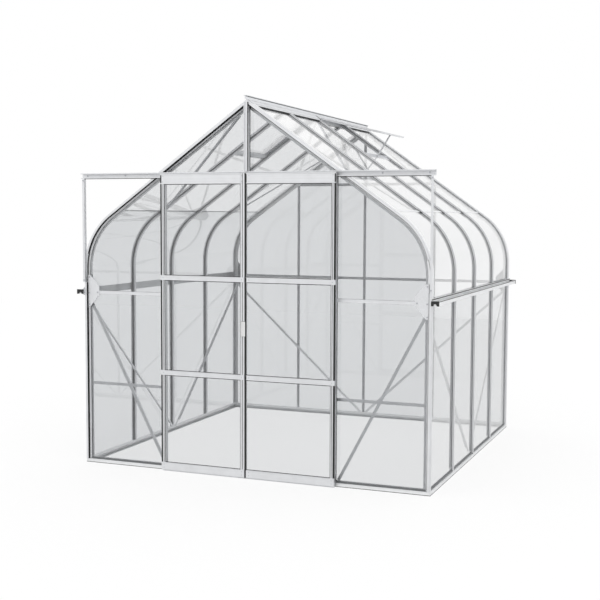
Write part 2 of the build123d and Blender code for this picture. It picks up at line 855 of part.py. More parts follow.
def save_gables():
    """Studs, rails, header, gussets and braces of both gables."""
    side_stud = stud(gable_bay, cap_width, pane_foot)
    side_studs = [side_stud] + other_side([side_stud])
    save("door_jambs", side_studs)
    header_top = header_low + header_height
    stud_edge = cap_width / 2 + seat_gap
    save("door_header", [header(gable_bay - stud_edge)])
    save("front_stud", [stud(0, cap_width, header_top + seat_gap)])
    post_edge = wall_line - flange_reach - seat_gap
    outer_rail = gable_rail(gable_bay + stud_edge, post_edge, waist_height)
    save("front_waist_rails", [outer_rail] + other_side([outer_rail]))
    knee = [knee_rail()]
    save("knee_rails", knee + other_side(knee))
    save("back_studs", other_end(side_studs + [stud(0, cap_width, pane_foot)]))
    inner_rail = gable_rail(stud_edge, gable_bay - stud_edge, waist_height)
    head_rail = gable_rail(stud_edge, gable_bay - stud_edge, back_head_height)
    rails = [inner_rail, outer_rail, head_rail]
    save("back_rails", other_end(rails + other_side(rails)))
    plate = [gusset()]
    plates = plate + other_side(plate)
    save("corner_gussets", plates + other_end(plates))
    front_brace = [gable_brace(gable_brace_foot, wall_line - gable_brace_top)]
    save("front_braces", front_brace + other_side(front_brace))
    back_brace = [gable_brace(back_brace_foot, wall_line - gable_brace_top)]
    save("back_braces", other_end(back_brace + other_side(back_brace)))


def save_side_braces():
    """Braces of the side walls and of the roof."""
    braces = wall_braces()
    save("wall_braces", braces + other_side(braces))
    roof = [roof_brace()]
    roof += other_side(roof)
    save("roof_braces", roof + other_end(roof))


def save_glass():
    """Panes of the walls, the eaves, the roof and the gables."""
    every_bay = range(side_bays)
    walls = [wall_pane(i) for i in every_bay]
    save("right_wall_glass", walls)
    save("left_wall_glass", other_side(walls))
    eaves = [eave_pane(i) for i in every_bay]
    save("right_eave_glass", eaves)
    save("left_eave_glass", other_side(eaves))
    short_top = vent_sill_run - vent_sill_width - seat_gap
    right_tops = [short_top if i == open_vent_bay else glass_run for i in every_bay]
    left_tops = [short_top if i == shut_vent_bay else glass_run for i in every_bay]
    save("right_roof_glass", [roof_pane(i, right_tops[i]) for i in every_bay])
    save("left_roof_glass", other_side([roof_pane(i, left_tops[i]) for i in every_bay]))
    strips = [lap_strip(i) for i in every_bay]
    save("lap_strips", strips + other_side(strips))
    front = gable_glass((-gable_bay, gable_bay), False)
    front += gable_heads(header_low + header_height + seat_gap)
    save("front_glass", front)
    back = gable_glass((-gable_bay, 0, gable_bay), True)
    back += gable_heads(back_head_height + web_thickness / 2 + glass_edge_gap)
    save("back_glass", other_end(back))


def save_doors():
    """Track, struts, guide and the two leaves."""
    save("door_track", [track()])
    strut = [track_strut()]
    save("track_struts", strut + other_side(strut))
    save("door_guide", [door_guide()])
    save("right_door_frame", [leaf_frame(0)])
    save("left_door_frame", other_side([leaf_frame(head_rail_notch)]))
    panes = leaf_glass()
    save("right_door_glass", panes)
    save("left_door_glass", other_side(panes))
    rollers = leaf_rollers()
    save("right_door_rollers", rollers)
    save("left_door_rollers", other_side(rollers))
    save("door_handle", [handle()])


def save_vents():
    """The open vent on the right slope and the shut one on the left."""
    open_start = bay_edges[open_vent_bay]
    shut_start = bay_edges[shut_vent_bay]
    open_frame, open_pane = [opened(solid) for solid in sash_parts(open_start)]
    shut_frame, shut_pane = other_side(sash_parts(shut_start))
    save("right_vent_sash", [open_frame])
    save("left_vent_sash", [shut_frame])
    save("vent_glass", [open_pane, shut_pane])
    save("vent_sills", [vent_sill(open_start)] + other_side([vent_sill(shut_start)]))
    save("vent_stays", [open_stay(open_start)] + other_side([folded_stay(shut_start)]))


os.makedirs("parts", exist_ok=True)
save_base()
save_bars()
save_eaves_and_ridge()
save_gables()
save_side_braces()
save_glass()
save_doors()
save_vents()
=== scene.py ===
"""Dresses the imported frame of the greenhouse: finishes, seals, fixings, door sections and a studio."""

from math import cos, radians, sin

import bmesh
import bpy
import numpy as np
from bpy.props import FloatProperty, FloatVectorProperty, PointerProperty, StringProperty
from mathutils import Matrix, Vector


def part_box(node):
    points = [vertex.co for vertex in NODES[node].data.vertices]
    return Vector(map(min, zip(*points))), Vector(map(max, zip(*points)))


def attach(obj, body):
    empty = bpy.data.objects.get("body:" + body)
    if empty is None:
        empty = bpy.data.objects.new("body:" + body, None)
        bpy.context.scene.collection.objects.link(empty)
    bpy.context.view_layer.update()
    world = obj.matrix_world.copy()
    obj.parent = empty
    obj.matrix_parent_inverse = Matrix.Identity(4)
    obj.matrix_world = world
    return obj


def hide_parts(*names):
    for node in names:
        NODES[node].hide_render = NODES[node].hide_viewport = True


bl_info = {
    "name": "Glass Greenhouse",
    "version": (1, 0, 0),
    "blender": (4, 5, 0),
    "location": "View3D > Sidebar > Greenhouse",
    "description": "Finishes, seals, fixings and sliding door sections for a curved-eave greenhouse",
    "category": "Object",
}

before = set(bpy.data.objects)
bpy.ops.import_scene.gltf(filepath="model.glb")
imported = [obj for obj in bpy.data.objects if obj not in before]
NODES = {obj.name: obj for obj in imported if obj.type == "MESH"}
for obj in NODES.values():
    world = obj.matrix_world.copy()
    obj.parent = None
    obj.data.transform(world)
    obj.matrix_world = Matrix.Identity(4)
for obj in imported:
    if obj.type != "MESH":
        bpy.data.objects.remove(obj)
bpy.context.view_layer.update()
MM = 0.001
ALONG_X = np.array([1.0, 0.0, 0.0])
ALONG_Y = np.array([0.0, 1.0, 0.0])
ALONG_Z = np.array([0.0, 0.0, 1.0])


# Places taken from the frame ---------------------------------------------------------------------
def low(node):
    """Lowest corner of a CAD node."""
    return np.array(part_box(node)[0])


def high(node):
    """Highest corner of a CAD node."""
    return np.array(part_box(node)[1])


X, Y, Z = 0, 1, 2


def least(node, axis):
    """Where a CAD node starts along an axis."""
    return float(low(node)[axis])


def most(node, axis):
    """Where a CAD node ends along an axis."""
    return float(high(node)[axis])


WALL_X = most("right_wall_bars", X)
GABLE_FRONT = least("front_gable_bars", Y)
GABLE_BACK = most("back_gable_bars", Y)
MIDDLE_Y = (GABLE_FRONT + GABLE_BACK) / 2
SPLICE_Z = least("right_roof_bars", Z)
SILL_TOP = most("front_sill", Z)


# Settings ---------------------------------------------------------------------------------------
def length(name, description, default):
    """A size in metres that the panel shows as a length."""
    return FloatProperty(
        name=name, description=description, default=default, subtype="DISTANCE", unit="LENGTH"
    )


def angle(name, description, degrees):
    """An angle in degrees that the panel shows as one."""
    return FloatProperty(name=name, description=description, default=radians(degrees), subtype="ANGLE")


def colour(name, description, code):
    """A colour as an sRGB hex value."""
    return StringProperty(name=name, description=description, default=code)


class GreenhouseSizes(bpy.types.PropertyGroup):
    """Sizes of the sections and fixings that the frame's boxes don't give."""

    bend_height: length("Bend height", "Where the bars leave the wall line", 1.386)
    eave_radius: length("Eave radius", "Bend of the bars at their outer face", 0.47)
    roof_pitch: angle("Roof pitch", "Slope", 35.4)
    side_bay: length("Side bay", "Bar to bar along the sides", 0.606)
    gable_bay: length("Gable bay", "Bar to bar across the gables", 0.620)
    cap_width: length("Bar cap", "Width of a glazing bar's outer cap", 0.022)
    seal_width: length("Seal", "Width of the glazing rubber beside a bar", 0.0115)
    bolt_head: length("Bolt head", "Across the flats of a bolt head", 0.010)


class GreenhouseStage(bpy.types.PropertyGroup):
    """Camera, lamps and floor."""

    eye: FloatVectorProperty(
        name="Camera place", description="Where the camera stands", subtype="TRANSLATION", unit="LENGTH",
        default=(3.00124, -7.80794, 1.7652),
    )
    yaw: angle("Yaw", "Turn to the left", 21.74415)
    pitch: angle("Pitch", "Tilt upwards", -4.43034)
    roll: angle("Roll", "Turn about the view", 0.24775)
    lens: FloatProperty(name="Lens", description="Focal length in millimetres", default=65.254, min=10.0)
    sky: FloatProperty(name="Sky", description="Even light from all round", default=1.0, min=0.0)
    key: FloatProperty(
        name="Key lamp", description="Power of the large front lamp", unit="POWER", default=60.0,
    )
    side: FloatProperty(
        name="Side lamp", description="Power of the lamp on the right", unit="POWER", default=60.0,
    )
    sky_mirror: FloatProperty(
        name="Sky in mirrors", description="Brightness of the surroundings where glass or metal mirrors them",
        default=1.04, min=0.0,
    )
    floor_reach: FloatProperty(
        name="Floor", description="Half the floor's width", subtype="DISTANCE", unit="LENGTH", default=10.7,
    )
    floor_shade: FloatProperty(
        name="Floor shade", description="Share of the floor's brightness that shadows can take",
        subtype="FACTOR", default=0.16, min=0.0, max=1.0,
    )
    floor_mirror: FloatProperty(
        name="Floor in mirrors", description="Brightness of the floor where glass or metal mirrors it",
        subtype="FACTOR", default=0.86, min=0.0, max=1.0,
    )


class GreenhouseColours(bpy.types.PropertyGroup):
    """Colours of the finishes, as sRGB hex values."""

    aluminium: colour("Aluminium", "Mill-finish extrusions", "#e6e7e9")
    # The mill-finish aluminium made paler: painted highlight on the sills, gutters, lap strips and gable
    # bars.
    bright_aluminium: colour("Bright aluminium", "Sills and gutters", "#f0f1f2")
    glass: colour("Glass", "Tint of one 4 mm pane", "#e8e9ea")
    # A paler tint of the same glass, for the roof, the vents and the right eave only: painted reflection of
    # the white sky on them.
    sky_reflection_glass: colour("Clear glass", "Tint of a roof or bent pane", "#fcfcfc")
    rubber: colour("Rubber", "Black glazing rubber", "#18191a")
    grey_rubber: colour("Grey rubber", "Outer seals of bars and sills", "#7a7c7e")
    black_plastic: colour("Black plastic", "Gutter plugs", "#1b1c1d")
    white_plastic: colour("White plastic", "Door pull", "#fafafa")
    nylon: colour("Nylon", "Door rollers", "#dcdad2")
    steel: colour("Steel", "Zinc-plated bolts and nuts", "#c4c6ca")


# Materials --------------------------------------------------------------------------------------
def linear(code):
    """A hex sRGB colour as linear RGBA: each channel undone by the sRGB curve."""
    channels = np.array([int(code[i : i + 2], 16) for i in (1, 3, 5)]) / 255
    straight = np.where(channels <= 0.04045, channels / 12.92, ((channels + 0.055) / 1.055) ** 2.4)
    return (*[float(c) for c in straight], 1.0)


def add(tree, kind, inputs=(), **settings):
    """Adds a node, sets its properties, and fills its sockets with values or with links."""
    node = tree.nodes.new(kind)
    for name, value in settings.items():
        setattr(node, name, value)
    for socket, value in dict(inputs).items():
        if isinstance(value, bpy.types.NodeSocket):
            tree.links.new(value, node.inputs[socket])
        else:
            node.inputs[socket].default_value = value
    return node


def blank(name):
    """An empty node material with its output."""
    material = bpy.data.materials.new(name)
    material.use_nodes = True
    material.node_tree.nodes.clear()
    return material, material.node_tree, add(material.node_tree, "ShaderNodeOutputMaterial")


def noise(tree, place, scale, detail, roughness=0.5):
    """Noise over places in metres, with its scale in cells per metre."""
    return add(tree, "ShaderNodeTexNoise", {
        "Vector": place, "Scale": scale, "Detail": detail, "Roughness": roughness,
    }).outputs["Fac"]


def remap(tree, value, source, target):
    """A value carried from one span to another."""
    return add(tree, "ShaderNodeMapRange", {
        "Value": value, "From Min": source[0], "From Max": source[1],
        "To Min": target[0], "To Max": target[1],
    }).outputs[0]


def tones(tree, factor, code, dark, light):
    """A colour that runs from a darker to a lighter share of itself."""
    base = np.array(linear(code))[:3]
    ramp = add(tree, "ShaderNodeValToRGB", {"Fac": factor})
    ramp.color_ramp.elements[0].color = (*(base * dark), 1.0)
    ramp.color_ramp.elements[1].color = (*np.minimum(base * light, 1.0), 1.0)
    return ramp.outputs["Color"]


def relief(tree, height, strength, distance):
    """A fine relief in the face, its distance in metres."""
    return add(tree, "ShaderNodeBump", {
        "Height": height, "Strength": strength, "Distance": distance,
    }).outputs[0]


def aluminium(name, code, grain):
    """Mill-finish extruded aluminium: a soft grey metal with faint lines left by the die.

    The grain vector holds lines per metre along X, Y and Z: die lines 1 to 2 mm apart across the
    section and stretched to about half a metre along it.
    """
    material, tree, out = blank(name)
    place = add(tree, "ShaderNodeTexCoord").outputs["Object"]
    lines = add(tree, "ShaderNodeMapping", {"Vector": place, "Scale": grain}).outputs[0]
    die = noise(tree, lines, 1.0, 3.0, 0.6)
    # Handling and weathering leave cloudy patches about 60 mm across.
    cloud = noise(tree, place, 16.0, 4.0, 0.55)
    tone = add(tree, "ShaderNodeMath", {0: die, 1: cloud}, operation="ADD").outputs[0]
    metal = add(tree, "ShaderNodeBsdfPrincipled", {
        "Base Color": tones(tree, remap(tree, tone, (0.6, 1.4), (0.0, 1.0)), code, 0.9, 1.08),
        "Metallic": 1.0,
        "Roughness": remap(tree, cloud, (0.3, 0.7), (0.5, 0.62)),
        "Normal": relief(tree, die, 0.25, 0.0001),
    })
    tree.links.new(metal.outputs[0], out.inputs["Surface"])
    return material


def plastic(name, code, roughness, grain):
    """Moulded plastic or rubber: an even colour with a fine moulded grain, a given grain per metre."""
    material, tree, out = blank(name)
    place = add(tree, "ShaderNodeTexCoord").outputs["Object"]
    cells = noise(tree, place, grain, 3.0, 0.6)
    shell = add(tree, "ShaderNodeBsdfPrincipled", {
        "Base Color": tones(tree, cells, code, 0.85, 1.1),
        "Roughness": remap(tree, cells, (0.0, 1.0), (roughness - 0.08, roughness + 0.08)),
        "Normal": relief(tree, cells, 0.3, 0.0002),
        "IOR": 1.5,
    })
    tree.links.new(shell.outputs[0], out.inputs["Surface"])
    return material


def window_glass(name, code):
    """Horticultural float glass: clear with a faint neutral tint and a slight roll in its faces."""
    material, tree, out = blank(name)
    place = add(tree, "ShaderNodeTexCoord").outputs["Object"]
    # The faces roll over about 250 mm, by a few hundredths of a millimetre.
    roll = noise(tree, place, 4.0, 1.0)
    pane = add(tree, "ShaderNodeBsdfPrincipled", {
        "Base Color": linear(code), "Roughness": 0.0, "IOR": 1.52, "Transmission Weight": 1.0,
        "Normal": relief(tree, roll, 0.1, 0.0003),
    })
    # Shadow rays pass the panes with only their tint.
    clear = add(tree, "ShaderNodeBsdfTransparent", {"Color": linear(code)})
    path = add(tree, "ShaderNodeLightPath")
    mix = add(tree, "ShaderNodeMixShader", {
        0: path.outputs["Is Shadow Ray"], 1: pane.outputs[0], 2: clear.outputs[0],
    })
    tree.links.new(mix.outputs[0], out.inputs["Surface"])
    return material


# Lines per metre along X, Y and Z, by the way that a section was drawn through its die.
GRAINS = {
    "upright": (600.0, 600.0, 2.0),
    "crosswise": (2.0, 600.0, 600.0),
    "lengthwise": (600.0, 2.0, 600.0),
    "bent": (6.0, 600.0, 6.0),
    "bright_crosswise": (2.0, 600.0, 600.0),
    "bright_lengthwise": (600.0, 2.0, 600.0),
    "bright_bent": (6.0, 600.0, 6.0),
    "pressed": (90.0, 90.0, 90.0),
}
STEEL_GRAIN = (900.0, 900.0, 900.0)
# The paler roof glass is the same glass with a painted reflection of the sky.
GLASSES = {"glass": "horticultural_float_glass", "sky_reflection_glass": "painted_reflection_glass"}
# Material name, roughness and grain per metre.
PLASTICS = {
    "rubber": ("epdm_glazing_rubber", 0.6, 900.0),
    "grey_rubber": ("grey_epdm_rubber", 0.6, 900.0),
    "black_plastic": ("moulded_polypropylene_black", 0.42, 500.0),
    "white_plastic": ("moulded_abs_white", 0.35, 500.0),
    "nylon": ("turned_nylon", 0.4, 700.0),
}
FINISHES = {}


def finish(name):
    """A finish by its short name, made on first use."""
    if name in FINISHES:
        return FINISHES[name]
    colours = bpy.context.scene.greenhouse_colours
    # The bright_ finishes are the same aluminium in a paler colour, a painted highlight.
    if name.startswith("bright_"):
        made = aluminium(f"bright_anodised_aluminium_{name}", colours.bright_aluminium, GRAINS[name])
    elif name in GRAINS:
        made = aluminium(f"mill_finish_aluminium_{name}", colours.aluminium, GRAINS[name])
    elif name in GLASSES:
        made = window_glass(GLASSES[name], getattr(colours, name))
    elif name in PLASTICS:
        material_name, roughness, grain = PLASTICS[name]
        made = plastic(material_name, getattr(colours, name), roughness, grain)
    elif name == "steel":
        made = aluminium("zinc_plated_steel", colours.steel, STEEL_GRAIN)
    else:
        raise ValueError(f"no finish named {name}")
    FINISHES[name] = made
    return made


NODE_FINISHES = {
    "upright": [
        "corner_posts", "left_wall_bars", "right_wall_bars", "front_stud", "back_studs", "door_jambs",
        "track_struts",
    ],
    "crosswise": [
        "back_rails", "front_waist_rails", "knee_rails", "door_header", "door_track", "door_guide",
    ],
    "lengthwise": ["ridge", "vent_sills", "left_vent_sash", "right_vent_sash"],
    # Sills, gutters, lap strips and gable bars take the paler aluminium, a painted highlight.
    "bright_crosswise": ["front_sill", "back_sill"],
    "bright_lengthwise": ["left_sill", "right_sill", "left_gutter", "right_gutter", "lap_strips"],
    "bright_bent": ["front_gable_bars", "back_gable_bars"],
    "bent": ["left_roof_bars", "right_roof_bars"],
    "pressed": [
        "corner_gussets", "front_braces", "back_braces", "wall_braces", "roof_braces", "vent_stays",
        "left_door_frame", "right_door_frame",
    ],
    "glass": [
        "front_glass", "back_glass", "left_wall_glass", "right_wall_glass", "left_eave_glass",
        "left_door_glass", "right_door_glass",
    ],
    # The right eave, roof and vent panes take the paler glass: painted reflection of the sky.
    "sky_reflection_glass": ["right_eave_glass", "left_roof_glass", "right_roof_glass", "vent_glass"],
    "black_plastic": ["gutter_caps"],
    "white_plastic": ["door_handle"],
    "nylon": ["left_door_rollers", "right_door_rollers"],
}


class GREENHOUSE_OT_finishes(bpy.types.Operator):
    """Give every carried-over node its finish"""

    bl_idname = "greenhouse.finishes"
    bl_label = "Finishes"

    def execute(self, context):
        named = {node for nodes in NODE_FINISHES.values() for node in nodes}
        if named != set(NODES):
            raise ValueError(f"nodes and finishes differ: {sorted(named ^ set(NODES))}")
        for name, nodes in NODE_FINISHES.items():
            for node in nodes:
                mesh = NODES[node].data
                mesh.materials.clear()
                mesh.materials.append(finish(name))
        return {"FINISHED"}


# Shapes -----------------------------------------------------------------------------------------
def shell(x, y, z):
    """A tube from grids of places, one row to a section, with a flat face over each end."""
    rows, columns = x.shape
    index = np.arange(rows * columns).reshape(rows, columns)
    ahead = np.roll(index, -1, axis=1)
    sides = np.stack([index[:-1], ahead[:-1], ahead[1:], index[1:]], axis=-1).reshape(-1, 4)
    faces = sides.tolist() + [index[0, ::-1].tolist(), index[-1].tolist()]
    return np.stack([x, y, z], axis=-1).reshape(-1, 3), faces


def swept(profile, path, across, upward):
    """A closed profile carried along a path.

    Point (i, j) is place i on the path, plus the profile's first number j along `across` i, plus
    its second number j along `upward` i. The ends are closed with flat faces.
    """
    profile = np.asarray(profile, float)
    path = np.asarray(path, float)
    across = np.broadcast_to(np.asarray(across, float), path.shape)
    upward = np.broadcast_to(np.asarray(upward, float), path.shape)
    points = path[:, None] + profile[None, :, :1] * across[:, None] + profile[None, :, 1:] * upward[:, None]
    return shell(points[..., 0], points[..., 1], points[..., 2])


def straight(profile, start, end, across, upward):
    """A profile in millimetres carried from one place in metres straight to another."""
    return swept(np.asarray(profile, float) * MM, [start, end], across, upward)


def turned(profile, centre, axis, sides=16):
    """A profile of radii and heights turned about an axis through a centre.

    Point (i, j) is the centre plus height j along the axis plus radius j at angle i round it.
    """
    axis = np.asarray(axis, float) / np.linalg.norm(axis)
    helper = ALONG_Z if abs(axis[2]) < 0.9 else ALONG_X
    first = np.cross(helper, axis)
    first /= np.linalg.norm(first)
    second = np.cross(axis, first)
    angle = np.arange(sides) * (2 * np.pi / sides)
    spoke = np.cos(angle)[:, None] * first + np.sin(angle)[:, None] * second
    profile = np.asarray(profile, float) * MM
    points = np.asarray(centre, float) + profile[None, :, 1:] * axis + profile[None, :, :1] * spoke[:, None]
    columns = profile.shape[0]
    index = np.arange(sides * columns).reshape(sides, columns)
    ahead = np.roll(index, -1, axis=0)
    quads = np.stack([index[:, :-1], index[:, 1:], ahead[:, 1:], ahead[:, :-1]], axis=-1).reshape(-1, 4)
    return points.reshape(-1, 3), quads.tolist() + [index[:, 0].tolist(), index[::-1, -1].tolist()]


def rect(u0, u1, v0, v1, ease=0.0):
    """A rectangle in millimetres with its corners cut back by an ease."""
    if not ease:
        return [(u0, v0), (u1, v0), (u1, v1), (u0, v1)]
    e = ease
    return [
        (u0 + e, v0), (u1 - e, v0), (u1, v0 + e), (u1, v1 - e),
        (u1 - e, v1), (u0 + e, v1), (u0, v1 - e), (u0, v0 + e),
    ]


def make_piece(name, parts, finish_name, body="house", replaced=(), ease=0.0):
    """One finished piece from parts of points and faces, riding on its body.

    Every part is a closed shell, whose faces are turned outwards; an ease rounds its edges.
    """
    counts = np.cumsum([0] + [len(points) for points, _ in parts])
    points = np.concatenate([points for points, _ in parts])
    faces = []
    for first, (_, part) in zip(counts, parts):
        faces += [[corner + int(first) for corner in face] for face in part]
    mesh = bpy.data.meshes.new(name)
    mesh.from_pydata(points.tolist(), [], faces)
    loose = bmesh.new()
    loose.from_mesh(mesh)
    bmesh.ops.recalc_face_normals(loose, faces=loose.faces)
    loose.to_mesh(mesh)
    loose.free()
    mesh.materials.append(finish(finish_name))
    piece = bpy.data.objects.new(name, mesh)
    bpy.context.scene.collection.objects.link(piece)
    if ease:
        bevel = piece.modifiers.new("eased_edges", "BEVEL")
        bevel.width = ease * MM
        bevel.segments = 2
        bevel.limit_method = "ANGLE"
        bevel.angle_limit = radians(35)
    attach(piece, body)
    if replaced:
        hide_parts(*replaced)
    return piece


def mirrored(parts, axis, middle=0.0):
    """The same parts on the other side of a plane across an axis."""
    flipped = []
    for points, faces in parts:
        other = points.copy()
        other[:, axis] = 2 * middle - other[:, axis]
        flipped.append((other, faces))
    return flipped


def both_sides(parts):
    """Parts of the right half and their likes on the left."""
    return parts + mirrored(parts, X)


def both_ends(parts):
    """Parts of the front half and their likes at the back."""
    return parts + mirrored(parts, Y, MIDDLE_Y)


def house_line(depth, start, end_x):
    """The right half's outline at depths in metres inside its outer face, as X and Z arrays.

    On the bend, at angle a above level: x = wall - R + (R - depth) cos a and z = bend height +
    (R - depth) sin a, with a from 0 to a right angle less the pitch. Below it the line runs straight
    down to the height `start`, and above it up the slope to end_x, so that a bar ends in an upright cut.
    """
    sizes = bpy.context.scene.greenhouse_sizes
    depth = np.atleast_1d(np.asarray(depth, float))
    top = radians(90) - sizes.roof_pitch
    angle = np.linspace(0.0, top, 25)[:, None]
    radius = sizes.eave_radius - depth
    x = WALL_X - sizes.eave_radius + radius * np.cos(angle)
    z = sizes.bend_height + radius * np.sin(angle)
    end_z = z[-1] + (x[-1] - end_x) * np.tan(sizes.roof_pitch)
    x = np.vstack([WALL_X - depth, x, np.full_like(depth, end_x)])
    z = np.vstack([np.full_like(depth, start), z, end_z])
    return x, z


def along_house(profile, y, start, end_x, toward_y=1.0):
    """A profile of millimetres (along Y, depth below the outer face) carried up the outline."""
    profile = np.asarray(profile, float) * MM
    x, z = house_line(profile[:, 1], start, end_x)
    return shell(x, np.broadcast_to(y + toward_y * profile[:, 0], x.shape), z)


def along_slope(profile, y, start, end=None, toward_y=1.0):
    """The same on the slope alone, from a level cut at the height `start` to one at `end` or the ridge."""
    profile = np.asarray(profile, float) * MM
    x, z = house_line(profile[:, 1], SPLICE_Z, 0.0)
    level = np.vstack([np.full_like(z[-1], start), z[-1] if end is None else np.full_like(z[-1], end)])
    x = (z[-1] - level) / np.tan(bpy.context.scene.greenhouse_sizes.roof_pitch)
    return shell(x, np.broadcast_to(y + toward_y * profile[:, 0], x.shape), level)


def along_ridge(profile, start_y, end_y):
    """A profile of millimetres (down the slope from the ridge's middle, height above the outer face)."""
    profile = np.asarray(profile, float) * MM
    pitch = bpy.context.scene.greenhouse_sizes.roof_pitch
    x = profile[:, 0] * cos(pitch) + profile[:, 1] * sin(pitch)
    z = roof_height(0.0, 0.0) - profile[:, 0] * sin(pitch) + profile[:, 1] * cos(pitch)
    return swept(np.stack([x, z], axis=1), [(0, start_y, 0), (0, end_y, 0)], ALONG_X, ALONG_Z)


def roof_height(depth, x):
    """The height of the slope's line a depth inside its outer face, above x."""
    return float(house_line(depth, SPLICE_Z, abs(x))[1][-1, 0])


def side_bars():
    """The places of the bars along the sides."""
    sizes = bpy.context.scene.greenhouse_sizes
    return [MIDDLE_Y + step * sizes.side_bay for step in (-1, 0, 1)]


def roof_bays():
    """The edges of the four bays along a slope, inside the gable bars."""
    return [GABLE_FRONT + 46 * MM, *side_bars(), GABLE_BACK - 46 * MM]


def beside_bars(profile, start):
    """A profile carried up both sides of every side bar, from a height to beside the ridge."""
    runs = [along_house(profile, y, start, BAR_END_X, turn) for y in side_bars() for turn in (1.0, -1.0)]
    return both_sides(runs)


def on_side(parts, side):
    """Parts of the right half as they are, or their likes on the left for a side below 0."""
    return parts if side > 0 else mirrored(parts, X)


# Door leaves ------------------------------------------------------------------------------------
# Every profile is in millimetres. A stile's first number runs from the leaf's edge towards the pane,
# and its second back from the leaf's front. A rail's first number is a height. Each outer stile holds
# a brush along its edge, the left leaf's inner stile is plain, and the right leaf's is slim and holds
# the meeting seal.
STILE_OUTER = [
    (11.5, 2), (18.8, 2), (18.8, 4.5), (22.6, 4.5), (22.6, 2), (28, 2), (30, 4.5), (30, 6), (27, 6),
    (27, 10.6), (30, 10.6), (30, 13), (28, 16.5), (0, 16.5), (0, 13.5), (8, 13.5), (8, 5), (11.5, 5),
]
STILE_PLAIN = [
    (0, 2), (12.5, 2), (12.5, 4.5), (17, 4.5), (17, 2), (28, 2), (30, 4.5), (30, 6), (27, 6),
    (27, 10.6), (30, 10.6), (30, 13), (28, 16.5), (0, 16.5),
]
STILE_SLIM = [(0, 1.8), (2.2, 1.8), (2.2, 5.6), (4.2, 5.6), (4.2, 6.2), (2.2, 6.2), (2.2, 16.3), (0, 16.3)]
BRUSH_OUTER = [(0.2, 5.2), (7.8, 5.2), (7.8, 3.4), (11.3, 3.4), (11.3, 2.4), (6, 1.6), (0.6, 2), (0.2, 3)]
BRUSH_GROOVE = [(18.9, 3.6), (22.5, 3.6), (22.5, 4.4), (18.9, 4.4)]
PLAIN_GROOVE = [(12.6, 3.4), (16.9, 3.4), (16.9, 4.4), (12.6, 4.4)]
MEETING_SEAL = [
    (3.4, 0.6), (-9.5, 1.4), (-11, 4), (-11, 10), (-9.5, 12), (-0.1, 14), (-0.1, 1.7), (3.4, 1.7),
]
# A flat face with a bright lip along its top.
BOTTOM_RAIL = [
    (0, 1.2), (6, 0), (48, 0), (51, 0), (51, 1.5), (52.5, 1.5), (52.5, 0), (55, 0), (57, 4.5), (57, 6),
    (55, 6), (55, 10.6), (57, 10.6), (55, 16.5), (0, 16.5),
]
# A rolled face that runs over the stiles.
MIDDLE_RAIL = [
    (0, 1.6), (1.6, 0), (3.4, 0), (4.4, 0.9), (29.6, 0.9), (30.6, 0), (32.4, 0), (34, 1.6), (34, 6),
    (30, 6), (30, 10.6), (34, 10.6), (34, 14), (0, 14), (0, 10.6), (4, 10.6), (4, 6), (0, 6),
]
# Deep, with a bead along its top and its foot.
HEAD_RAIL = [
    (0, 2.2), (1.2, 0.6), (4, 0), (6, 0.6), (7, 2.2), (60, 2.2), (62, 0.8), (66, 0), (69, 0), (71, 1.6),
    (71, 16.5), (4, 16.5), (4, 10.6), (0, 10.6), (0, 9.5), (3, 9.5), (3, 6), (0, 6),
]
BOTTOM_RAIL_SEAL = rect(55, 59, 1.8, 6, 0.8)
SEAL_UNDER_RAIL = rect(-3.6, -0.1, 1.6, 6, 0.8)
SEAL_OVER_RAIL = rect(34.1, 37.6, 1.6, 6, 0.8)
STILE_SEAL = rect(28.2, 31.6, 2.6, 6, 0.8)
STILE_WIDTH = 28.0
SLIM_STILE_WIDTH = 2.4
HEAD_RAIL_STOP = 30.0  # the left leaf's head rail ends this far before the leaf's inner edge
MIDDLE_RAIL_HEIGHTS = (0.670, 1.323)
HEAD_RAIL_HEIGHT = 1.974
WHEEL = [
    (5, -4), (5, -4.6), (7, -4.6), (7, -4), (12.4, -4), (13, -3.4), (13, -1.8), (11.4, 0), (13, 1.8),
    (13, 3.4), (12.4, 4), (7, 4), (7, 4.6), (5, 4.6),
]
WHEEL_RADIUS = 13.0
# Each rivet's height in metres and its depth behind the leaf's front in millimetres.
RIVETS = ((0.026, 0.0), (0.048, 0.0), (0.687, 0.9), (1.340, 0.9), (1.990, 2.2), (2.028, 2.2))
RIVET_DOME = [(0.6, -1.4), (1.8, -1.1), (2.8, -0.5), (3.2, 0.2)]
GRIP = [
    (0, 1.5), (1.2, 0.3), (2.5, 0), (3.8, 0.3), (5, 1.5), (5.2, 9.6), (7, 11.6), (25.6, 12), (27, 13.2),
    (27, 15), (0, 15),
]


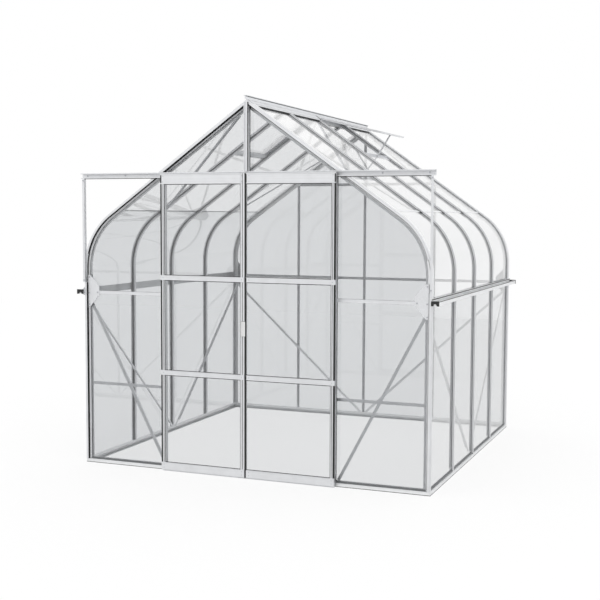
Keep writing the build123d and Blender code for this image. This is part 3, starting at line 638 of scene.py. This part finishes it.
class GREENHOUSE_OT_doors(bpy.types.Operator):
    """Build the two sliding leaves from their stiles, rails, seals, rollers and pull"""

    bl_idname = "greenhouse.doors"
    bl_label = "Door leaves"

    def execute(self, context):
        for side in ("left", "right"):
            self.leaf(side)
            self.rollers(side)
            self.rivets(side)
        self.pull()
        return {"FINISHED"}

    def leaf(self, side):
        """One leaf: its stiles, rails, seals and brush, and on the right leaf its wider panes."""
        node = f"{side}_door_frame"
        x0, y0, z0 = low(node)
        x1, _, z1 = high(node)
        body = f"{side}_door"
        is_left = side == "left"

        def upright(profile, x, turn, foot, top):
            return straight(profile, (x, y0, foot), (x, y0, top), ALONG_X * turn, ALONG_Y)

        def rail(profile, start, end, z):
            return straight(profile, (start, y0, z), (end, y0, z), ALONG_Z, ALONG_Y)

        left, right = (STILE_OUTER, STILE_PLAIN) if is_left else (STILE_SLIM, STILE_OUTER)
        stiles = [upright(left, x0, 1.0, z0, z1), upright(right, x1, -1.0, z0, z1)]
        make_piece(f"{side}_door_stiles", stiles, "upright", body, (node,))
        inner = x0 + (STILE_WIDTH if is_left else SLIM_STILE_WIDTH) * MM
        outer = x1 - STILE_WIDTH * MM
        rails = [rail(BOTTOM_RAIL, x0 + 0.5 * MM, x1 - 0.5 * MM, z0)]
        seals = [rail(BOTTOM_RAIL_SEAL, inner, outer, z0)]
        for height in MIDDLE_RAIL_HEIGHTS:
            rails.append(rail(MIDDLE_RAIL, x0, x1, height))
            seals += [rail(edge, inner, outer, height) for edge in (SEAL_UNDER_RAIL, SEAL_OVER_RAIL)]
        rails.append(rail(HEAD_RAIL, x0, x1 - (HEAD_RAIL_STOP * MM if is_left else 0.0), HEAD_RAIL_HEIGHT))
        seals.append(rail(SEAL_UNDER_RAIL, inner, outer, HEAD_RAIL_HEIGHT))
        make_piece(f"{side}_door_rails", rails, "crosswise", body)
        # Rubber beside the wide stiles, then the brush down the leaf's outer edge.
        for x, turn in ((x0, 1.0), (x1, -1.0)) if is_left else ((x1, -1.0),):
            seals.append(upright(STILE_SEAL, x, turn, z0 + 55 * MM, HEAD_RAIL_HEIGHT))
        foot, top = z0 + 3 * MM, z1 - 3 * MM
        edge, turn = (x0, 1.0) if is_left else (x1, -1.0)
        seals += [upright(brush, edge, turn, foot, top) for brush in (BRUSH_OUTER, BRUSH_GROOVE)]
        if is_left:
            seals.append(upright(PLAIN_GROOVE, x1, -1.0, foot, top))
        else:
            seals.append(upright(MEETING_SEAL, x0, 1.0, foot, top))
            self.panes(x0, z0)
        make_piece(f"{side}_door_seals", seals, "rubber", body)

    def panes(self, edge, foot):
        """The right leaf's panes, which reach further left than the plain ones, up to the slim stile."""
        left, right = edge + 2.6 * MM, most("right_door_glass", X)
        front, back = least("right_door_glass", Y), most("right_door_glass", Y)
        sheet = [(left, front), (right, front), (right, back), (left, back)]
        lower, upper = MIDDLE_RAIL_HEIGHTS
        spans = (
            (foot + 53 * MM, lower + 3 * MM),
            (lower + 31 * MM, upper + 3 * MM),
            (upper + 31 * MM, HEAD_RAIL_HEIGHT + 2 * MM),
        )
        panes = [swept(sheet, [(0, 0, z0), (0, 0, z1)], ALONG_X, ALONG_Y) for z0, z1 in spans]
        make_piece("right_door_panes", panes, "glass", "right_door", ("right_door_glass",))

    def rollers(self, side):
        """Grooved wheels on stepped axles, in the places of the plain ones."""
        node = f"{side}_door_rollers"
        radius = WHEEL_RADIUS * MM
        y = most(node, Y) - 4.0 * MM
        z = least(node, Z) + radius
        reach = (y - least(node, Y)) / MM
        wheels = []
        axles = []
        for x in (least(node, X) + radius, most(node, X) - radius):
            wheels.append(turned(WHEEL, (x, y, z), ALONG_Y, 28))
            axles.append(turned([(4, 4.7), (4, 7), (3, 7), (3, 9)], (x, y - 15 * MM, z), ALONG_Y, 12))
            axles.append(turned([(4.6, -5.8), (4.6, 5.6), (4, 6)], (x, y, z), ALONG_Y, 12))
            axles.append(turned([(4, -reach), (4, -5.8)], (x, y, z), ALONG_Y, 12))
        make_piece(f"{side}_door_wheels", wheels, "nylon", f"{side}_door", (node,))
        make_piece(f"{side}_door_axles", axles, "steel", f"{side}_door")

    def rivets(self, side):
        """Domed rivets that hold each rail to the stiles."""
        node = f"{side}_door_frame"
        front = least(node, Y)
        spots = []
        for x in (least(node, X) + 20 * MM, most(node, X) - 20 * MM):
            for height, sunk in RIVETS:
                spots.append(turned(RIVET_DOME, (x, front + sunk * MM, height), ALONG_Y, 10))
        make_piece(f"{side}_door_rivets", spots, "steel", f"{side}_door")

    def pull(self):
        """The pull: a moulded plate whose far edge rolls forward into a rounded grip.

        Its ends round off: over the first and last 3% of the height the section draws in towards its
        middle by a quarter circle, to three quarters of its size.
        """
        x0, y0, z0 = low("door_handle")
        z1 = most("door_handle", Z)
        end = 0.03
        rise = np.linspace(0.0, 1.0, 13)
        rise = np.concatenate([[0.0, 0.01, end], rise[1:-1], [1 - end, 0.99, 1.0]])
        edge = np.minimum(rise, 1 - rise)
        circle = np.sqrt(np.clip(1 - (1 - edge / end) ** 2, 0.0, 1.0))
        shrink = np.where(edge >= end, 1.0, circle * 0.25 + 0.75)
        profile = np.asarray(GRIP, float) * MM
        middle = np.array([13.5, 15.0]) * MM
        points = middle + (profile[None] - middle) * shrink[:, None, None]
        x = x0 + points[..., 0]
        y = y0 + points[..., 1]
        z = np.broadcast_to((z0 + (z1 - z0) * rise)[:, None], x.shape)
        make_piece("door_pull", [shell(x, y, z)], "white_plastic", "left_door", ("door_handle",), ease=0.5)
        # A thin dark gasket under the plate, a little larger than it.
        back = least("left_door_frame", Y) + 1.9 * MM
        pad = rect(-1.6, 28.4, -1.2, 0, 0.5)
        lap = 1.6 * MM
        gasket = straight(pad, (x0, back, z0 - lap), (x0, back, z1 + lap), ALONG_X, ALONG_Y)
        make_piece("pull_gasket", [gasket], "rubber", "left_door")


# Seals ------------------------------------------------------------------------------------------
BAR_END_X = 4 * MM  # the side bars' strips end this far from the ridge's middle
GABLE_END_X = 6 * MM
POST_FLANGE = 29.5 * MM  # from the wall line to the edge of a post's or gable bar's flange


class GREENHOUSE_OT_seals(bpy.types.Operator):
    """Fit the rubber seals, wedges and metal beads beside the panes"""

    bl_idname = "greenhouse.seals"
    bl_label = "Glazing seals"

    def execute(self, context):
        sizes = context.scene.greenhouse_sizes
        self.bar_seals()
        self.gable_bar_seals()
        self.stud_seals(sizes)
        self.sill_seals(sizes)
        self.contact_shadow_strips()
        return {"FINISHED"}

    def bar_seals(self):
        """Rubber behind the panes on both sides of each side bar, and a wedge in front of them."""
        strip = [(1.7, 17.2), (6.6, 17.2), (7.4, 18.2), (6.6, 19.4), (1.7, 19.4)]
        wedge = [(11, 10.4), (12.6, 10.2), (14.6, 12.2), (14.2, 12.8), (10.6, 12.8)]
        make_piece("side_bar_seals", beside_bars(strip, SILL_TOP + 1 * MM), "grey_rubber")
        make_piece("side_bar_wedges", beside_bars(wedge, least("right_wall_glass", Z)), "grey_rubber")

    def gable_bar_seals(self):
        """Strips along the corners: on the gable's flange, and beside the leg where the side panes end."""
        strip = [(2.8, 12.7), (2.8, 15.5), (4.2, 16.5), (9.9, 16.5), (9.9, 12.7)]
        beside = [(32.4, 3.4), (41, 3.4), (42.5, 5), (42.5, 12.8), (32.4, 12.8)]
        wedge = [(42.2, 10.4), (43.8, 10.2), (45.8, 12.2), (45.4, 12.8), (41.8, 12.8)]
        for name, profile, glass, finish_name in (
            ("gable_bar_seals", strip, "front_glass", "rubber"),
            ("corner_beads", beside, "right_wall_glass", "bent"),
            ("corner_wedges", wedge, "right_wall_glass", "grey_rubber"),
        ):
            run = along_house(profile, GABLE_FRONT, least(glass, Z), GABLE_END_X)
            make_piece(name, both_ends(both_sides([run])), finish_name)

    def stud_seals(self, sizes):
        """Rubber beside the caps of the front's studs and rails, and metal beads at the back."""
        reach = sizes.seal_width / MM
        strip = [
            (1.7, 2.7), (reach - 0.8, 2.7), (reach, 3.6), (reach, 11.4), (reach - 1.6, 12.8), (1.7, 12.8),
        ]
        foot = least("front_glass", Z)
        header = most("door_header", Z)
        half = sizes.cap_width / 2
        bay = sizes.gable_bay

        def upright(x, start, turn):
            top = roof_height(POST_FLANGE, abs(x) + half) - 1 * MM
            return straight(strip, (x, GABLE_FRONT, start), (x, GABLE_FRONT, top), ALONG_X * turn, ALONG_Y)

        def level(x0, x1, z):
            start, end = (x0, GABLE_FRONT, z), (x1, GABLE_FRONT, z)
            return [straight(strip, start, end, ALONG_Z * turn, ALONG_Y) for turn in (1.0, -1.0)]

        front = [upright(bay, foot, 1.0), upright(bay, header, -1.0), upright(0.0, header, 1.0)]
        make_piece("front_stud_seals", both_sides(front), "rubber")
        back = [upright(bay, foot, 1.0), upright(bay, foot, -1.0), upright(0.0, foot, 1.0)]
        make_piece("back_stud_beads", mirrored(both_sides(back), Y, MIDDLE_Y), "upright")
        waist = (least("front_waist_rails", Z) + most("front_waist_rails", Z)) / 2
        head = most("back_rails", Z) - 11 * MM
        outer = level(bay + half, WALL_X - POST_FLANGE, waist)
        inner = level(half, bay - half, waist) + level(half, bay - half, head)
        make_piece("front_rail_seals", both_sides(outer), "rubber")
        make_piece("back_rail_beads", mirrored(both_sides(outer + inner), Y, MIDDLE_Y), "crosswise")

    def sill_seals(self, sizes):
        """A rubber wedge along the foot of the panes, on the ledge of the sills."""
        wedge = [(0, 6), (2, 4.4), (5, 5), (8, 9), (8.6, 11), (8.6, 12.8), (0, 12.8)]
        foot = least("front_glass", Z)
        half = sizes.cap_width / 2
        bay = sizes.gable_bay

        def across(x0, x1):
            return straight(wedge, (x0, GABLE_FRONT, foot), (x1, GABLE_FRONT, foot), ALONG_Z, ALONG_Y)

        panel = across(bay + half, WALL_X - POST_FLANGE)
        middle = across(half, bay - half)
        make_piece("front_sill_seals", both_sides([panel]), "grey_rubber")
        back = mirrored(both_sides([panel, middle]), Y, MIDDLE_Y)
        make_piece("back_sill_seals", back, "grey_rubber")
        post_depth = 33 * MM
        bars = side_bars()
        starts = [GABLE_FRONT + post_depth] + [y + half for y in bars]
        ends = [y - half for y in bars] + [GABLE_BACK - post_depth]
        runs = []
        for start, end in zip(starts, ends):
            runs.append(straight(wedge, (WALL_X, start, foot), (WALL_X, end, foot), ALONG_Z, -ALONG_X))
        make_piece("side_sill_seals", both_sides(runs), "grey_rubber")

    def contact_shadow_strips(self):
        """A thin black strip round the foot of the sills, on the ground: painted contact shadow."""
        # Black strip on the ground along the sills: painted contact shadow.
        pad = rect(-0.8, 0.4, 0.2, 3.6, 0.3)
        x0, x1 = least("left_sill", X), most("right_sill", X)
        y0, y1 = least("front_sill", Y), most("back_sill", Y)
        edges = [
            straight(pad, (x0, y0, 0), (x1, y0, 0), ALONG_Y, ALONG_Z),
            straight(pad, (x0, y1, 0), (x1, y1, 0), -ALONG_Y, ALONG_Z),
            straight(pad, (x0, y0, 0), (x0, y1, 0), ALONG_X, ALONG_Z),
            straight(pad, (x1, y0, 0), (x1, y1, 0), -ALONG_X, ALONG_Z),
        ]
        make_piece("contact_shadow_strips", edges, "rubber")


# Cappings ---------------------------------------------------------------------------------------
# Rims as (along Y, depth inside the outer face): a proud flat front, then a step back in front of the
# pane. The shallow one clears the sliding leaves.
RIM_STEP = [(0.8, 24), (9.8, 31), (9.8, 13.2), (-0.2, 13.2)]
SHALLOW_RIM = [(-0.2, 0.4), (-14, 0.4), (-15, 1.4), (-15, 15), (-14.3, 15.8), (0.8, 15.8)] + RIM_STEP
DEEP_RIM = [(-0.2, 0.2), (-24.5, 0.2), (-26, 1.7), (-26, 18.5), (-25.3, 19.4), (0.8, 19.4)] + RIM_STEP
SHALLOW_EDGE = [
    (0.6, 15.9), (-14.2, 15.9), (-14.2, 17), (-13.4, 17.8), (-1.4, 17.8), (-1.4, 20.6), (0.6, 20.6),
]
DEEP_EDGE = [
    (0.6, 19.5), (-25.2, 19.5), (-25.2, 21), (-24, 21.8), (-1.4, 21.8), (-1.4, 23.8), (0.6, 23.8),
]
TRACK_GAP = 1.5 * MM
# The bead runs across from the ridge's middle and down from its top. The lip, joint and seal run down
# the slope from the ridge's middle and up from the bars' outer face.
RIDGE_BEAD = [
    (-9, -4.2), (-9.4, -2.2), (-8.6, -0.6), (-7, -0.1), (7, -0.1), (8.6, -0.6), (9.4, -2.2), (9, -4.2),
    (5, -5.4), (-5, -5.4),
]
RIDGE_LIP = [
    (45.4, 3.4), (46.6, 3.4), (47.4, -1), (56, -2), (56.6, -3), (56.4, -5.8), (45.4, -5.8), (45.4, -0.5),
]
RIDGE_JOINT = [(4, 4), (46, 4), (57.4, -1.6), (57.4, -6), (58, -6), (58, 0), (47, 5), (4, 5)]
RIDGE_SEAL = [(48, -12.8), (57, -12.8), (58, -11.5), (57.5, -6), (48, -6)]
RIDGE_REACH = (37 * MM, 20 * MM)  # past the ridge's front end and its back end
# Each slope's side and the bay, from the front, that holds its vent.
VENT_BAYS = ((1.0, 2), (-1.0, 1))


class GREENHOUSE_OT_cappings(bpy.types.Operator):
    """Fit the beads of the bars, the gable rims, the centre stud's capping and the ridge's trim"""

    bl_idname = "greenhouse.cappings"
    bl_label = "Cappings"

    def execute(self, context):
        self.bar_beads()
        self.gable_rims()
        self.centre_stud()
        self.ridge_trim()
        self.vent_lips()
        self.gutter_lines()
        self.struts()
        return {"FINISHED"}

    def bar_beads(self):
        """A bead on each side of a side bar, from the edge of its cap down to the glass."""
        bead = [(1.7, 2.7), (8, 2.7), (8.8, 3.4), (11.4, 12.2), (11, 12.8), (1.7, 12.8)]
        make_piece("side_bar_beads", beside_bars(bead, least("right_wall_glass", Z)), "bent")

    def gable_rims(self):
        """Cover strips in front of posts and gable bars, with a rubber edge against the panes.

        They stand back from the sliding leaves below the track and stop short of it on both sides.
        """
        foot = least("front_glass", Z)
        strut_low = least("track_struts", Z) - TRACK_GAP
        track_low = least("door_track", Z) - TRACK_GAP
        track_high = most("door_track", Z) + TRACK_GAP
        for part, shallow, deep, finish_name in (
            ("gable_rims", SHALLOW_RIM, DEEP_RIM, "bent"),
            ("rim_rubbers", SHALLOW_EDGE, DEEP_EDGE, "rubber"),
        ):
            start, end = (WALL_X, GABLE_FRONT, foot), (WALL_X, GABLE_FRONT, strut_low)
            front = [
                straight([(v, u) for u, v in shallow], start, end, -ALONG_X, ALONG_Y),
                self.bend_run(shallow, track_low),
                along_slope(deep, GABLE_FRONT, track_high),
            ]
            make_piece(f"front_{part}", both_sides(front), finish_name)
            back = both_sides([along_house(shallow, GABLE_FRONT, foot, 0.0)])
            make_piece(f"back_{part}", mirrored(back, Y, MIDDLE_Y), finish_name)

    def bend_run(self, profile, top):
        """The part of a cover strip from beside the strut, round the bend and up to a height."""
        sizes = bpy.context.scene.greenhouse_sizes
        profile = np.asarray(profile, float) * MM
        x, z = house_line(profile[:, 1], sizes.bend_height, 0.0)
        x[-1] = (z[-1] - top) / np.tan(sizes.roof_pitch)
        z[-1] = top
        clear = most("track_struts", X) - 27 * MM
        keep = house_line(0.0, sizes.bend_height, 0.0)[0][:, 0] < clear
        x, z = x[keep], z[keep]
        return shell(x, np.broadcast_to(GABLE_FRONT + profile[:, 0], x.shape), z)

    def centre_stud(self):
        """The capping over the doors: a raised rim on the left and a rubber line on the right."""
        foot = (0, GABLE_FRONT, most("door_track", Z) + TRACK_GAP)
        head = (0, GABLE_FRONT, roof_height(12 * MM, 4 * MM))
        stud = [
            (-15, -1), (-15, -39), (-14, -40), (-9.5, -40), (-8.5, -39), (-7.5, -33), (7.5, -33),
            (9, -32), (9, -22), (11, -20), (11, -1),
        ]
        line = rect(9.2, 12, -34, -25, 0.8)
        make_piece("centre_stud_capping", [straight(stud, foot, head, ALONG_X, ALONG_Y)], "upright")
        make_piece("centre_stud_rubber", [straight(line, foot, head, ALONG_X, ALONG_Y)], "rubber")

    def ridge_trim(self):
        """Ends that carry the ridge's bead past the gables, and rubber where its flanges meet the panes."""
        start, end, top = least("ridge", Y), most("ridge", Y), most("ridge", Z)
        front_reach, back_reach = RIDGE_REACH
        web = rect(-2.6, 2.6, -(top - roof_height(0.0, 0.0)) / MM + 0.5, -5.2)
        gap = 0.2 * MM
        ends = []
        for y0, y1 in ((start - front_reach, start - gap), (end + gap, end + back_reach)):
            for part in (RIDGE_BEAD, web):
                ends.append(straight(part, (0, y0, top), (0, y1, top), ALONG_X, ALONG_Z))
        make_piece("ridge_ends", ends, "lengthwise")
        bays = roof_bays()
        inset = 12 * MM
        runs = []
        for side, vent in VENT_BAYS:
            for bay in (0, 1, 2, 3):
                if bay == vent:
                    continue
                y0, y1 = bays[bay] + inset * (bay > 0), bays[bay + 1] - inset * (bay < 3)
                runs += on_side([along_ridge(RIDGE_SEAL, y0, y1)], side)
        make_piece("ridge_seals", runs, "rubber")
        # A grey strip under each side of the bead: painted shade under the bead.
        line = [(2.1, -9.5), (3.4, -9.2), (3.8, -7), (3.4, -4.6), (2.1, -4.4)]
        y0, y1 = start - front_reach, end + back_reach
        under = [straight(line, (0, y0, top), (0, y1, top), ALONG_X, ALONG_Z)]
        make_piece("ridge_bead_shade_line", both_sides(under), "grey_rubber")

    def vent_lips(self):
        """A loose lip that hangs from the ridge's flanges up to the vents' bays, with a rubber joint."""
        start, end = least("ridge", Y), most("ridge", Y)
        bays = roof_bays()
        lips = []
        joints = []
        for side, vent in VENT_BAYS:
            near, far = bays[vent], bays[vent + 1]
            run = [
                along_ridge(RIDGE_LIP, start + 2 * MM, near - 5 * MM),
                along_ridge(RIDGE_LIP, far + 5 * MM, end - 2 * MM),
            ]
            lips += on_side(run, side)
            joints += on_side([along_ridge(RIDGE_JOINT, near - 5 * MM, near + 2 * MM)], side)
        make_piece("ridge_lips", lips, "lengthwise")
        make_piece("ridge_joints", joints, "rubber")

    def gutter_lines(self):
        """Dark strips along the gutters: a rubber seal behind, against the wall, which is also painted shade
        of the gutter's inside, and a strip of painted shade under the rolled lip.
        """
        node = "right_gutter"
        start, end = least(node, Y) + 1 * MM, most(node, Y) - 1 * MM

        def run(profile, x, z):
            return straight(profile, (x, start, z), (x, end, z), ALONG_X, ALONG_Z)

        # Rubber seal on the back plate, also painted shade inside the gutter.
        behind = run(rect(0.1, 1.6, -9, -3, 0.4), least(node, X) + 2.5 * MM, most(node, Z))
        # Black strip on the lip's face: painted shade of the gap under the rolled lip.
        under = run(rect(0.05, 0.9, -4.6, -0.3, 0.3), most(node, X), least(node, Z) + 37 * MM)
        make_piece("gutter_seal_and_shade_strips", both_sides([behind, under]), "rubber")

    def struts(self):
        """The angles between the track's ends and the corners, and the brush under the track."""
        outer = most("track_struts", X)
        front = least("track_struts", Y)
        foot, top = least("track_struts", Z), most("track_struts", Z)
        depth = (most("track_struts", Y) - front) / MM
        angle_profile = [
            (-25, 0.6), (-24.4, 0), (-9.6, 0), (-9, 0.6), (-9, 2), (-23, 2), (-23, depth), (-25, depth),
        ]
        run = straight(angle_profile, (outer, front, foot), (outer, front, top), ALONG_X, ALONG_Y)
        make_piece("strut_angles", both_sides([run]), "upright", replaced=("track_struts",))
        brush = rect(0.4, 5, -4.2, -0.1, 0.6)
        y, z = least("door_track", Y), least("door_track", Z)
        reach = outer - 26 * MM
        strip = straight(brush, (-reach, y, z), (reach, y, z), ALONG_Y, ALONG_Z)
        make_piece("track_brush", [strip], "rubber")


# Fixings ----------------------------------------------------------------------------------------
# Along X, on each side of the track's bolt at the gable bars.
INNER_TRACK_BOLTS = (0.04, 0.31)
OUTER_TRACK_BOLTS = (0.93, 1.235)
STRUT_BOLT_HEIGHTS = (1.305, 2.004)


class GREENHOUSE_OT_fixings(bpy.types.Operator):
    """Fit the bolts of the gussets, track and struts, and the clips of the lapped panes"""

    bl_idname = "greenhouse.fixings"
    bl_label = "Fixings"

    def execute(self, context):
        self.bolts(context.scene.greenhouse_sizes)
        self.lap_clips()
        return {"FINISHED"}

    def bolts(self, sizes):
        """Hexagon heads. One head is a prism whose flats lie the bolt size apart."""
        radius = sizes.bolt_head / MM / 2 / cos(radians(30))
        head = [(0.5, -4.0), (radius - 1.2, -4.0), (radius, -3.4), (radius, 0.0)]

        def bolt(x, y, z):
            return turned(head, (x, y, z), ALONG_Y, 6)

        face = least("corner_gussets", Y)
        z0, z1 = least("corner_gussets", Z), most("corner_gussets", Z)
        middle = (z0 + z1) / 2
        near, far = WALL_X - 31 * MM, WALL_X - 98 * MM
        spots = (
            (near, z0 + 14 * MM), (near, z1 - 14 * MM), (near, middle - 14 * MM), (far, middle - 10 * MM),
        )
        gussets = [bolt(x, face, z) for x, z in spots]
        make_piece("gusset_bolts", both_ends(both_sides(gussets)), "steel")
        back = most("door_track", Y) - 2.5 * MM
        level = (least("door_track", Z) + most("door_track", Z)) / 2
        places = (*INNER_TRACK_BOLTS, sizes.gable_bay, *OUTER_TRACK_BOLTS)
        track = [bolt(x, back, level) for x in places]
        make_piece("track_bolts", both_sides(track), "steel")
        x, y = most("track_struts", X) - 17 * MM, least("track_struts", Y)
        struts = [bolt(x, y, z) for z in STRUT_BOLT_HEIGHTS]
        make_piece("strut_bolts", both_sides(struts), "steel")

    def lap_clips(self):
        """Black spring clips that hold the lapped panes, one on each side of every side bar."""
        clip = [(11.5, 12.7), (20, 12.7), (21, 11.6), (19, 8.8), (11.5, 7.6)]
        middle = (least("lap_strips", Z) + most("lap_strips", Z)) / 2
        half = 11 * MM
        clips = [
            along_slope(clip, y, middle - half, middle + half, turn)
            for y in side_bars() for turn in (1.0, -1.0)
        ]
        make_piece("lap_clips", both_sides(clips), "rubber")


# Stage ------------------------------------------------------------------------------------------
WHITE = (1.0, 1.0, 1.0, 1.0)
KEY_LAMP = ((-5.5, -9.0, 6.5), 5.0)  # place and size in metres
SIDE_LAMP = ((8.0, 1.5, 5.0), 4.0)
LAMP_AIM = (0.0, 0.0, 1.2)


class GREENHOUSE_OT_stage(bpy.types.Operator):
    """Set up the floor, the white surroundings, the lamps and the camera"""

    bl_idname = "greenhouse.stage"
    bl_label = "Stage"

    def execute(self, context):
        stage = context.scene.greenhouse_stage
        self.make_world(context.scene, stage)
        self.make_floor(stage)
        self.make_lamp("key_lamp", *KEY_LAMP, stage.key)
        self.make_lamp("side_lamp", *SIDE_LAMP, stage.side)
        self.make_camera(context.scene, stage)
        context.scene.view_settings.view_transform = "Standard"
        return {"FINISHED"}

    def make_world(self, scene, stage):
        """White where it is seen, mirrored or looked at through glass, and even soft light otherwise."""
        world = bpy.data.worlds.new("studio")
        world.use_nodes = True
        tree = world.node_tree
        tree.nodes.clear()
        seen = self.seen_factor(tree)
        above = add(tree, "ShaderNodeMath", {0: self.mirrored_ray(tree), 1: stage.sky_mirror - 1.0, 2: 1.0},
                    operation="MULTIPLY_ADD")
        white = add(tree, "ShaderNodeBackground", {"Color": WHITE, "Strength": above.outputs[0]})
        soft = add(tree, "ShaderNodeBackground", {"Color": WHITE, "Strength": stage.sky})
        mix = add(tree, "ShaderNodeMixShader", {0: seen, 1: soft.outputs[0], 2: white.outputs[0]})
        add(tree, "ShaderNodeOutputWorld", {"Surface": mix.outputs[0]})
        scene.world = world

    def seen_factor(self, tree):
        """1 for camera, glossy and transmission rays, 0 for the others."""
        path = add(tree, "ShaderNodeLightPath")
        either = add(tree, "ShaderNodeMath", {
            0: path.outputs["Is Camera Ray"], 1: path.outputs["Is Glossy Ray"],
        }, operation="MAXIMUM")
        return add(tree, "ShaderNodeMath", {
            0: either.outputs[0], 1: path.outputs["Is Transmission Ray"],
        }, operation="MAXIMUM").outputs[0]

    def mirrored_ray(self, tree):
        """1 for rays off a mirror only: one bent by a pane counts as glossy too, and is taken out."""
        path = add(tree, "ShaderNodeLightPath")
        return add(tree, "ShaderNodeMath", {
            0: path.outputs["Is Glossy Ray"], 1: path.outputs["Is Transmission Ray"],
        }, operation="SUBTRACT", use_clamp=True).outputs[0]

    def make_floor(self, stage):
        """A flat plain floor, whose white is its own except for the share that shadows can take.

        The studio is dim in front of the house, so the floor is darker where it is mirrored.
        """
        reach = stage.floor_reach
        mesh = bpy.data.meshes.new("floor")
        corners = [(-reach, -reach, 0), (reach, -reach, 0), (reach, reach, 0), (-reach, reach, 0)]
        mesh.from_pydata(corners, [], [(0, 1, 2, 3)])
        floor = bpy.data.objects.new("floor", mesh)
        bpy.context.scene.collection.objects.link(floor)
        material, tree, out = blank("matt_white_floor")
        plain = add(tree, "ShaderNodeBsdfDiffuse", {"Color": (0.6, 0.6, 0.6, 1.0)})
        faint = add(tree, "ShaderNodeBsdfDiffuse", {"Color": (stage.floor_shade,) * 3 + (1.0,)})
        own = 1.0 - stage.floor_shade * stage.sky
        white = add(tree, "ShaderNodeEmission", {"Color": WHITE, "Strength": own})
        shown = add(tree, "ShaderNodeAddShader", {0: faint.outputs[0], 1: white.outputs[0]})
        dimmed = add(tree, "ShaderNodeEmission", {"Color": WHITE, "Strength": stage.floor_mirror})
        lit = add(tree, "ShaderNodeMixShader", {
            0: self.mirrored_ray(tree), 1: shown.outputs[0], 2: dimmed.outputs[0],
        })
        seen = self.seen_factor(tree)
        mix = add(tree, "ShaderNodeMixShader", {0: seen, 1: plain.outputs[0], 2: lit.outputs[0]})
        tree.links.new(mix.outputs[0], out.inputs["Surface"])
        mesh.materials.append(material)

    def make_lamp(self, name, place, size, power):
        """A square soft lamp that faces the middle of the house."""
        data = bpy.data.lights.new(name, "AREA")
        data.size = size
        data.energy = power
        lamp = bpy.data.objects.new(name, data)
        lamp.location = place
        aim = Vector(LAMP_AIM) - Vector(place)
        lamp.rotation_euler = aim.to_track_quat("-Z", "Y").to_euler()
        bpy.context.scene.collection.objects.link(lamp)

    def make_camera(self, scene, stage):
        """A camera off the right corner, with no shift and no depth of field."""
        data = bpy.data.cameras.new("camera")
        data.sensor_width = 36.0
        data.lens = stage.lens
        data.clip_end = 200.0
        camera = bpy.data.objects.new("camera", data)
        level = cos(stage.pitch)
        ahead = Vector((-sin(stage.yaw) * level, cos(stage.yaw) * level, sin(stage.pitch)))
        right = Vector((cos(stage.yaw), sin(stage.yaw), 0.0))
        up = right.cross(ahead)
        across = right * cos(stage.roll) + up * sin(stage.roll)
        upward = up * cos(stage.roll) - right * sin(stage.roll)
        turn = Matrix((across, upward, -ahead)).transposed().to_4x4()
        camera.matrix_world = Matrix.Translation(stage.eye) @ turn
        scene.collection.objects.link(camera)
        scene.camera = camera


# Panel and registration -------------------------------------------------------------------------
OPERATORS = (
    GREENHOUSE_OT_finishes,
    GREENHOUSE_OT_doors,
    GREENHOUSE_OT_seals,
    GREENHOUSE_OT_cappings,
    GREENHOUSE_OT_fixings,
    GREENHOUSE_OT_stage,
)


class GREENHOUSE_PT_panel(bpy.types.Panel):
    """Settings and steps of the greenhouse"""

    bl_idname = "GREENHOUSE_PT_panel"
    bl_label = "Greenhouse"
    bl_space_type = "VIEW_3D"
    bl_region_type = "UI"
    bl_category = "Greenhouse"

    def draw(self, context):
        scene = context.scene
        for group in (scene.greenhouse_sizes, scene.greenhouse_stage, scene.greenhouse_colours):
            box = self.layout.box()
            for name in group.__annotations__:
                box.prop(group, name)
        for operator in OPERATORS:
            self.layout.operator(operator.bl_idname)


CLASSES = (GreenhouseSizes, GreenhouseStage, GreenhouseColours, *OPERATORS, GREENHOUSE_PT_panel)


def register():
    for cls in CLASSES:
        bpy.utils.register_class(cls)
    bpy.types.Scene.greenhouse_sizes = PointerProperty(type=GreenhouseSizes)
    bpy.types.Scene.greenhouse_stage = PointerProperty(type=GreenhouseStage)
    bpy.types.Scene.greenhouse_colours = PointerProperty(type=GreenhouseColours)


def unregister():
    del bpy.types.Scene.greenhouse_colours
    del bpy.types.Scene.greenhouse_stage
    del bpy.types.Scene.greenhouse_sizes
    for cls in reversed(CLASSES):
        bpy.utils.unregister_class(cls)


def main():
    """Runs every step in order."""
    register()
    bpy.ops.greenhouse.finishes()
    bpy.ops.greenhouse.doors()
    bpy.ops.greenhouse.seals()
    bpy.ops.greenhouse.cappings()
    bpy.ops.greenhouse.fixings()
    bpy.ops.greenhouse.stage()


if __name__ == "__main__":
    main()
